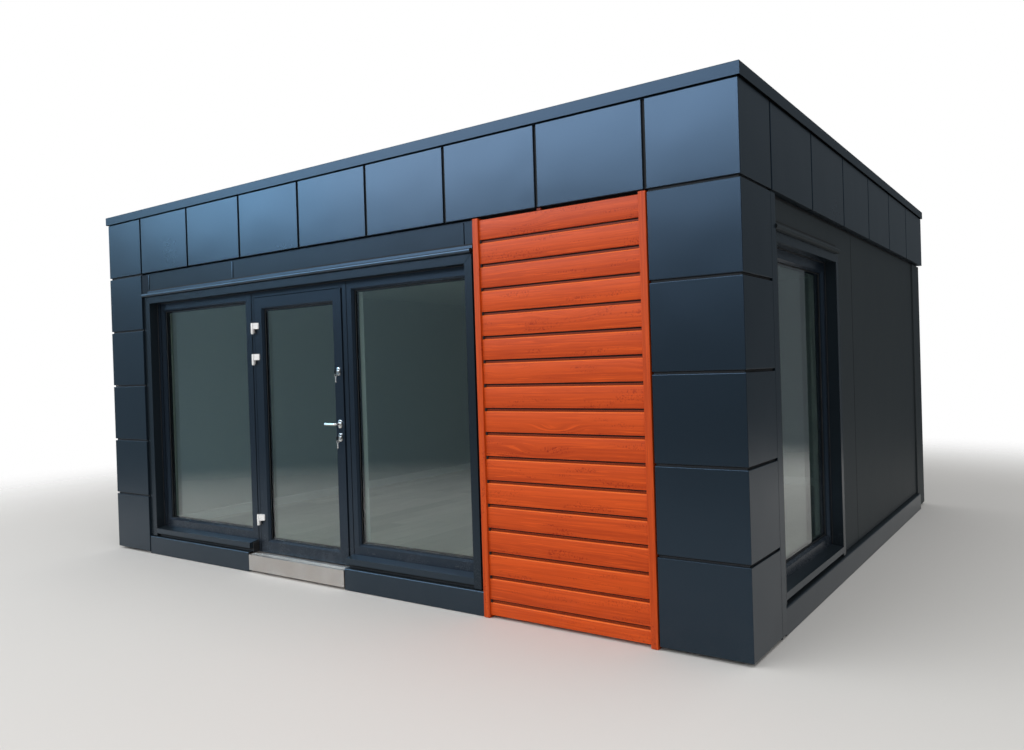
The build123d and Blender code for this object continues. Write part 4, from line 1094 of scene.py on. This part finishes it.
def build_glazing_edges(sizes):
    """Rubber gaskets on both faces of each unit, and the spacer bar between its panes."""
    units = (("left_window", 0, front_wall, window_glass_face, "cabin"),
             ("right_window", 0, front_wall, window_glass_face, "cabin"),
             ("side_window", 1, right_wall, window_glass_face, "cabin"),
             ("door", 0, front_wall, door_glass_face, "door"))
    rubber, spacer = sizes.gasket_width, sizes.spacer_width
    for label, axis, wall, outer, body in units:
        bm = new_part()
        u_span, z_span = pane_edges(f"{label}_glass", axis, rubber)
        join_part(bm, ring(u_span, z_span, (outer - 0.005, outer - 0.0003), rubber, 0.0015))
        inner = outer + unit_depth
        join_part(bm, ring(u_span, z_span, (inner + 0.0003, inner + 0.005), rubber))
        place_piece(bm, f"{label}_gaskets", "gasket_rubber", wall, body)
        u_span, z_span = pane_edges(f"{label}_glass", axis, spacer)
        bm = ring(u_span, z_span, (outer + 0.0053, inner - 0.0053), spacer - 0.0005)
        place_piece(bm, f"{label}_spacer", "black_seal_and_painted_shade", wall, body)


def build_frame_lines():
    """Near-black strips in the joints between the frames, beside the leaf and along the frame extension:
    partly seals, partly painted shade in the joints.
    """
    bm = new_part()
    full_height = (sill_level + 0.001, opening_head - 0.001)
    for u, wide, heights in ((left_window_right, 0.0045, full_height),
                             (door_frame_right, 0.0030, full_height),
                             (0.657, 0.0030, full_height), (1.9870, 0.0030, (0.160, 2.205))):
        add_slab(bm, about(u, wide), (frame_face - 0.0006, frame_face + 0.004), heights)
    place_piece(bm, "frame_seals_and_shade", "black_seal_and_painted_shade", front_wall)


def build_drainage():
    """Slotted drainage caps low on the window frames."""
    bm = new_part()
    for wall, low, high in ((front_wall, opening_left, left_window_right),
                            (front_wall, door_frame_right, opening_right),
                            (right_wall, side_window_start, side_window_end)):
        for u in (low + 0.20, high - 0.20):
            add_slab(bm, about(u, 0.016), (0.0975, 0.1005), (0.262, 0.269), 0.0012, wall=wall)
    place_piece(bm, "drainage_caps", "dark_plastic")


# Door furniture

def flag_plate(top):
    """The flat flag of a hinge, with two round corners."""
    end = hinge_u + 0.056
    part = slab((hinge_u, end), (leaf_face - 0.028, leaf_face), (top - flag_height, top))
    outer = [vert for vert in part.verts if vert.co.x > end - 0.001 and vert.co.y < leaf_face - 0.027]
    bmesh.ops.translate(part, verts=outer, vec=(0, 0.020, 0))
    ends = [edge for edge in edges_within(part, lambda co: co.x > end - 0.001)
            if abs(edge.verts[0].co.y - edge.verts[1].co.y) > 0.005]
    round_edges(part, ends, 0.006, 6)
    return part


def knuckle_cap(low, high, foot):
    """A moulded cap round the pin of a hinge, with soft corners and a round foot where asked."""
    side = 0.0110
    part = slab(about(hinge_u, side), about(hinge_v, side), (low, high))
    uprights = [edge for edge in part.edges if abs(edge.verts[0].co.z - edge.verts[1].co.z) > 0.005]
    round_edges(part, uprights, 0.0085, 5)
    end = low if foot else high
    rim = edges_within(part, lambda co: abs(co.z - end) < level_match)
    round_edges(part, rim, 0.008 if foot else 0.002, 4)
    return part


def build_hinges():
    """Flag hinges: an upper cap with its flag on the leaf, a lower cap with a lug on the frame, and black
    pads on the leaf as a painted shadow under each flag.
    """
    flags, barrels, painted_shadow_pads = new_part(), new_part(), new_part()
    for top in hinge_tops:
        low = top - flag_height
        join_part(flags, knuckle_cap(low, top, False))
        join_part(flags, flag_plate(top))
        bottom = top - hinge_height
        split = low - 0.0005
        join_part(barrels, knuckle_cap(bottom, split, True))
        add_slab(barrels, (hinge_u - 0.0105, hinge_u - 0.004), (hinge_v, frame_face),
                 (bottom + 0.010, split), 0.001)
        # Thin black pads on the leaf under the flag and beside the foot: a painted shadow of the hinge.
        behind = (leaf_face - 0.0014, leaf_face - 0.0002)
        add_slab(painted_shadow_pads, (leaf_left + 0.002, hinge_u + 0.058), behind, (low - 0.009, low + 0.004), 0.0004)
        add_slab(painted_shadow_pads, (leaf_left + 0.002, leaf_left + 0.017), behind, (bottom, low - 0.0088), 0.0004)
    place_piece(flags, "hinge_flags_moulded", "hinge_lacquer", front_wall, "door",
                ["hinge_flags"], sharp=35.0)
    place_piece(barrels, "hinge_barrels_moulded", "hinge_lacquer", front_wall, "cabin",
                ["hinge_barrels"], sharp=35.0)
    place_piece(painted_shadow_pads, "hinge_shadow_pads", "dark_plastic", front_wall, "door")


def one_lever(side):
    """A round lever: it leaves its rose, bends through a quarter turn and runs to a domed end."""
    part = new_part()
    radius = 0.0092
    start = leaf_face - 0.009 if side < 0 else leaf_back + 0.009
    reach = 0.040
    length = 0.121
    bend = 0.016
    turn = Matrix.Translation((lever_u, start, lever_z)) @ Matrix.Rotation(quarter, 4, "X")
    bmesh.ops.create_circle(part, cap_ends=True, radius=radius, segments=24, matrix=turn)
    tip = grow(part, part.faces[:], (0, side * (reach - bend), 0))
    geom = [*tip, *{edge for face in tip for edge in face.edges}, *{v for face in tip for v in face.verts}]
    centre = (lever_u - bend, start + side * (reach - bend), lever_z)
    bent = bmesh.ops.spin(part, geom=geom, cent=centre, axis=(0, 0, side), angle=quarter, steps=8,
                          use_duplicate=False)["geom_last"]
    tip = [item for item in bent if isinstance(item, bmesh.types.BMFace)]
    tip = grow(part, tip, (bend + radius - length + 0.010, 0, 0))
    tip = grow(part, tip, (-radius - 0.010, 0, 0))
    edges = [edge for face in tip for edge in face.edges]
    round_edges(part, edges, radius * 0.9, 5)
    return part


def build_lever():
    """Outside and inside lever on one spindle."""
    bm = new_part()
    join_part(bm, one_lever(-1))
    join_part(bm, one_lever(1))
    join_part(bm, disc(lever_u, lever_z, 0.0046, (leaf_face - 0.006, leaf_back + 0.006)))
    for span in ((leaf_face - 0.013, leaf_face - 0.009), (leaf_back + 0.009, leaf_back + 0.013)):
        join_part(bm, disc(lever_u, lever_z, 0.0118, span, 0.001, both=True))
    place_piece(bm, "lever_pair", "handle_plate", front_wall, "lever",
                ["lever_handle"], sharp=35.0)


def oval(z, wide, high, v_span, rim):
    """An upright oval plate on the leaf, drawn out from a round one."""
    part = disc(lever_u, z, wide / 2, v_span, rim, segments=40)
    shift = (high - wide) / 2
    for vert in part.verts:
        vert.co.z += shift if vert.co.z >= z else -shift
    return part


def rose_pair(z):
    """The roses on both faces of the leaf, each with a stepped foot."""
    bm = new_part()
    for low, high, lip in ((leaf_face - 0.009, leaf_face, leaf_face - 0.0015),
                           (leaf_back + 0.009, leaf_back, leaf_back + 0.0015)):
        join_part(bm, oval(z, rose_width, rose_height, (low, high), 0.003))
        join_part(bm, oval(z, rose_width + 0.0012, rose_height + 0.0012, (lip, high), 0.0004))
    return bm


def build_roses():
    """Oval roses of the lever."""
    place_piece(rose_pair(lever_z), "lever_roses", "handle_plate", front_wall, "door",
                ["door_roses"], sharp=35.0)


def round_ring(radius, wire):
    """A ring of round wire in the u-z plane."""
    part = new_part()
    turn = Matrix.Translation((radius, 0, 0)) @ Matrix.Rotation(quarter, 4, "X")
    made = bmesh.ops.create_circle(part, cap_ends=True, radius=wire, segments=12, matrix=turn)
    geom = made["verts"] + part.edges[:] + part.faces[:]
    bmesh.ops.spin(part, geom=geom, cent=(0, 0, 0), axis=(0, 1, 0), angle=math.radians(360), steps=28,
                   use_merge=True, use_duplicate=False)
    return part


def hanging_key(z):
    """The ring through the seated key, with a second key on it: a thick bow, a stem and its bits."""
    part = new_part()
    centre = leaf_face - 0.033
    join_part(part, round_ring(0.010, 0.0011), Matrix.Translation((lever_u, centre, z - 0.0105)))
    hung = Matrix.Translation((lever_u, centre, z - 0.030)) @ Matrix.Rotation(math.radians(50), 4, "Z")
    join_part(part, round_ring(0.0078, 0.0036), hung)
    add_slab(part, (-0.0034, 0.0034), (-0.0012, 0.0012), (-0.050, -0.009), 0.0008, wall=hung)
    for level in (-0.022, -0.040):
        add_slab(part, (-0.0045, 0.0045), (-0.0022, 0.0022), (level - 0.006, level), 0.0018, 3, wall=hung)
    return part


def seated_key(z):
    """The moulded head of the key that stands in the lock."""
    return slab(about(lever_u, 0.0022), (leaf_face - 0.044, leaf_face - 0.024),
                (z - 0.014, z + 0.008), 0.0015, 3)


def build_locks():
    """Cylinder locks above and below the lever, with keys in their outside faces."""
    bodies, keys, slots = new_part(), new_part(), new_part()
    for z in lock_heights:
        join_part(bodies, rose_pair(z))
        for face, sign in ((leaf_face, -1), (leaf_back, 1)):
            join_part(bodies, disc(lever_u, z, 0.0085, (face + sign * 0.013, face), 0.001))
        # A thin dark plate on the cylinder face stands in for the open key slot: painted shade.
        add_slab(slots, about(lever_u, 0.0009), (leaf_face - 0.0133, leaf_face - 0.0125),
                 about(z, 0.0055))
        join_part(keys, hanging_key(z))
        add_slab(keys, about(lever_u, 0.0012), (leaf_face - 0.026, leaf_face - 0.010),
                 about(z, 0.003), 0.0005)
        join_part(slots, seated_key(z))
    place_piece(bodies, "lock_cylinders", "handle_plate", front_wall, "door",
                ["door_locks"], sharp=35.0)
    place_piece(keys, "lock_keys", "key_nickel", front_wall, "door", sharp=35.0)
    place_piece(slots, "keyways", "dark_plastic", front_wall, "door")


def build_threshold():
    """Raised tread lines on the metal threshold."""
    low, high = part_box("door_threshold")
    span = (low.x + half_width + 0.004, high.x + half_width - 0.004)
    bm = new_part()
    front_z, rise = 0.143, 0.007
    for share in (0.30, 0.45, 0.60):
        v, z = share * leaf_face, front_z + share * rise
        add_slab(bm, span, about(v, 0.0022), (z - 0.001, z + 0.0016), 0.0008)
    place_piece(bm, "threshold_tread", "threshold_metal", front_wall)


# Roof

def build_roof_details(sizes):
    """Laps of the roof sheet and a clamping strip along its upturn."""
    low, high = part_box("roof_membrane")
    bm = new_part()
    inset, lap_height = 0.005, 0.0035
    count = int((high.x - low.x) / sizes.lap_spacing)
    for number in range(1, count + 1):
        x = low.x + number * (high.x - low.x) / (count + 1)
        outline = [(low.y + inset, roof_front), (high.y - inset, roof_back),
                   (high.y - inset, roof_back + lap_height), (low.y + inset, roof_front + lap_height)]
        join_part(bm, bar(outline, about(x, 0.04), 0.0012))
    place_piece(bm, "roof_sheet_laps", "roof_membrane_sheet")
    bm = new_part()
    top = high.z - 0.012
    edge = core_face + 0.060 + inset
    for wall, length in walls_and_lengths:
        add_slab(bm, (edge + 0.004, length - edge - 0.004), (edge, edge + 0.003), (top - 0.030, top),
                 0.0008, wall=wall)
    place_piece(bm, "roof_clamping_strip", "spacer_metal")


# Studio

def studio_world(studio):
    """Even light from all round, with a pale background wherever it is seen."""
    world = bpy.data.worlds.new("studio_world")
    bpy.context.scene.world = world
    world.use_nodes = True
    tree = world.node_tree
    shown = tree.nodes["Background"]
    path = add(tree, "LightPath").outputs
    facing = add(tree, "SeparateXYZ", {0: add(tree, "TexCoord").outputs["Generated"]}).outputs
    aside = ramp(facing[0], -0.78, -0.42, 1.0, 0.0)
    low_level = plus(0.12, times(aside, 0.16))
    front = plus(low_level, ramp(facing[2], 0.03, 0.50, 0.0, 0.78))
    rear = ramp(facing[2], 0.03, 0.60, 0.12, 0.24)
    turn = ramp(facing[1], -0.15, 0.35)
    room = plus(times(front, less(1.0, turn)), times(rear, turn))
    mirrored = maths("GREATER_THAN", path["Glossy Depth"], 0.5)
    through = times(path["Is Transmission Ray"], less(1.0, mirrored))
    seen = maths("MAXIMUM", path["Is Camera Ray"], through)
    inner = times(path["Is Transmission Ray"], mirrored)
    gloss = maths("MAXIMUM", path["Is Glossy Ray"], inner)
    even = times(less(1.0, gloss), studio.sky_level)
    inside = plus(times(room, gloss), even)
    strength = plus(seen, times(inside, less(1.0, seen)))
    hue = tint(aside, (0.78, 0.90, 1.0, 1.0), (0.56, 0.80, 1.0, 1.0))
    cool = tint(gloss, (1.0, 1.0, 1.0, 1.0), hue)
    feed(tree, shown, {"Color": cool, "Strength": strength})


def studio_floor(studio):
    """Pale round floor that fades into the background."""
    bm = new_part()
    bmesh.ops.create_circle(bm, cap_ends=True, radius=floor_radius, segments=96)
    mesh = bpy.data.meshes.new("studio_floor")
    bm.to_mesh(mesh)
    bm.free()
    floor = bpy.data.objects.new("studio_floor", mesh)
    bpy.context.scene.collection.objects.link(floor)
    shader, place = new_finish("studio_ground")
    tree = shader.id_data
    flat = add(tree, "VectorMath", {0: place, 1: (1, 1, 0)}, operation="MULTIPLY").outputs[0]
    distance = add(tree, "VectorMath", {0: flat}, operation="LENGTH").outputs["Value"]
    patch = cloud(place, 0.8, 5.0, 0.6)
    settle(shader, tint(times(patch, 0.25), rgba(studio.ground), rgba(studio.ground, 0.93)), 0.85)
    see_through(shader, ramp(distance, *floor_fade))
    mesh.materials.append(finishes["studio_ground"])


def soft_lamp(label, power, wide, high, place, aim, gloss=True, even=True, colour=(1.0, 1.0, 1.0)):
    """A large rectangular lamp turned towards a point, for gloss, for even light or for both."""
    data = bpy.data.lights.new(label, "AREA")
    data.shape = "RECTANGLE"
    data.size = wide
    data.size_y = high
    data.energy = power
    data.color = colour
    lamp = bpy.data.objects.new(label, data)
    lamp.visible_glossy = gloss
    lamp.visible_diffuse = even
    lamp.location = place
    lamp.rotation_mode = "QUATERNION"
    lamp.rotation_quaternion = (Vector(aim) - Vector(place)).to_track_quat("-Z", "Y")
    bpy.context.scene.collection.objects.link(lamp)


def photo_camera():
    """Camera at the photograph's place and angle."""
    data = bpy.data.cameras.new("photo_camera")
    data.lens = camera_lens
    data.sensor_width = 36.0
    camera = bpy.data.objects.new("photo_camera", data)
    yaw, pitch, roll = (math.radians(angle) for angle in (camera_yaw, camera_pitch, camera_roll))
    ahead = Vector((-math.sin(yaw) * math.cos(pitch), math.cos(yaw) * math.cos(pitch), math.sin(pitch)))
    right = ahead.cross(Vector((0, 0, 1))).normalized()
    upward = right.cross(ahead)
    turned_right = right * math.cos(roll) + upward * math.sin(roll)
    turned_up = upward * math.cos(roll) - right * math.sin(roll)
    axes = Matrix((turned_right, turned_up, -ahead)).transposed().to_4x4()
    camera.matrix_world = Matrix.Translation(camera_place) @ axes
    bpy.context.scene.collection.objects.link(camera)
    bpy.context.scene.camera = camera


# Operators

class CABIN_OT_finishes(bpy.types.Operator):
    """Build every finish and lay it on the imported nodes"""
    bl_idname = "cabin.finishes"
    bl_label = "Finishes"

    def execute(self, context):
        make_finishes(context.scene.cabin_colours, context.scene.cabin_sizes)
        for label, nodes in node_finishes.items():
            for node in nodes:
                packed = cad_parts[node]
                packed.data.materials.clear()
                packed.data.materials.append(finishes[label])
        return {"FINISHED"}


class CABIN_OT_cladding(bpy.types.Operator):
    """Fold the cassettes, coping, drip hoods, plinth and joint strips"""
    bl_idname = "cabin.cladding"
    bl_label = "Cladding"

    def execute(self, context):
        sizes = context.scene.cabin_sizes
        build_cassettes(sizes)
        build_joint_backers()
        build_coping()
        build_hoods()
        build_plinth()
        build_joint_strips()
        return {"FINISHED"}


class CABIN_OT_timber(bpy.types.Operator):
    """Lay the stained timber boards"""
    bl_idname = "cabin.timber"
    bl_label = "Timber Boards"

    def execute(self, context):
        build_boards(context.scene.cabin_sizes)
        return {"FINISHED"}


class CABIN_OT_glazing(bpy.types.Operator):
    """Fit the gaskets, spacer bars and drainage caps of the windows and the door"""
    bl_idname = "cabin.glazing"
    bl_label = "Glazing Edges"

    def execute(self, context):
        build_glazing_edges(context.scene.cabin_sizes)
        build_frame_lines()
        build_drainage()
        return {"FINISHED"}


class CABIN_OT_door_furniture(bpy.types.Operator):
    """Fit the hinges, the lever pair, the roses, the locks with their keys and the threshold lines"""
    bl_idname = "cabin.door_furniture"
    bl_label = "Door Furniture"

    def execute(self, context):
        build_hinges()
        build_lever()
        build_roses()
        build_locks()
        build_threshold()
        return {"FINISHED"}


class CABIN_OT_roof(bpy.types.Operator):
    """Lay the laps and the clamping strip of the roof sheet"""
    bl_idname = "cabin.roof"
    bl_label = "Roof Sheet"

    def execute(self, context):
        build_roof_details(context.scene.cabin_sizes)
        return {"FINISHED"}


class CABIN_OT_studio(bpy.types.Operator):
    """Set up the pale floor, the soft lamps and the camera"""
    bl_idname = "cabin.studio"
    bl_label = "Studio"

    def execute(self, context):
        studio = context.scene.cabin_studio
        context.scene.view_settings.view_transform = "Standard"
        studio_world(studio)
        studio_floor(studio)
        soft_lamp("key_lamp", studio.key_power, 24.0, 7.0, (-9.0, -16.0, 8.4), (-1.0, -2.0, 2.2),
                  gloss=False)
        soft_lamp("far_sheen_lamp", studio.sheen_power * 0.36, 10.0, 6.5, (-19.25, -16.0, 9.5),
                  (-19.25, 0.0, 9.5), even=False, colour=(0.38, 0.70, 1.0))
        soft_lamp("sheen_lamp", studio.sheen_power * 0.62, 15.5, 6.5, (-6.5, -16.0, 9.5), (-6.5, 0.0, 9.5),
                  even=False, colour=(0.68, 0.82, 1.0))
        soft_lamp("top_lamp", studio.top_power, 12.0, 9.0, (1.5, -4.5, 9.5), (1.5, -4.49, 0.0))
        photo_camera()
        return {"FINISHED"}


class CABIN_PT_dressing(bpy.types.Panel):
    """Steps and settings that dress the cabin"""
    bl_idname = "CABIN_PT_dressing"
    bl_label = "Site Cabin"
    bl_space_type = "VIEW_3D"
    bl_region_type = "UI"
    bl_category = "Cabin"

    def draw(self, context):
        layout = self.layout
        for group in ("cabin_sizes", "cabin_colours", "cabin_studio"):
            settings = getattr(context.scene, group)
            column = layout.column(align=True)
            for label in settings.__class__.__annotations__:
                column.prop(settings, label)
        for operator in operators:
            layout.operator(operator.bl_idname)


operators = (CABIN_OT_finishes, CABIN_OT_cladding, CABIN_OT_timber, CABIN_OT_glazing,
             CABIN_OT_door_furniture, CABIN_OT_roof, CABIN_OT_studio)
groups = (CabinSizes, CabinColours, CabinStudio)


def register():
    for item in groups + operators + (CABIN_PT_dressing,):
        bpy.utils.register_class(item)
    bpy.types.Scene.cabin_sizes = PointerProperty(type=CabinSizes)
    bpy.types.Scene.cabin_colours = PointerProperty(type=CabinColours)
    bpy.types.Scene.cabin_studio = PointerProperty(type=CabinStudio)


def unregister():
    del bpy.types.Scene.cabin_studio
    del bpy.types.Scene.cabin_colours
    del bpy.types.Scene.cabin_sizes
    for item in reversed(groups + operators + (CABIN_PT_dressing,)):
        bpy.utils.unregister_class(item)


def main():
    """Run every step in order."""
    register()
    bpy.ops.cabin.finishes()
    bpy.ops.cabin.cladding()
    bpy.ops.cabin.timber()
    bpy.ops.cabin.glazing()
    bpy.ops.cabin.door_furniture()
    bpy.ops.cabin.roof()
    bpy.ops.cabin.studio()


if __name__ == "__main__":
    main()
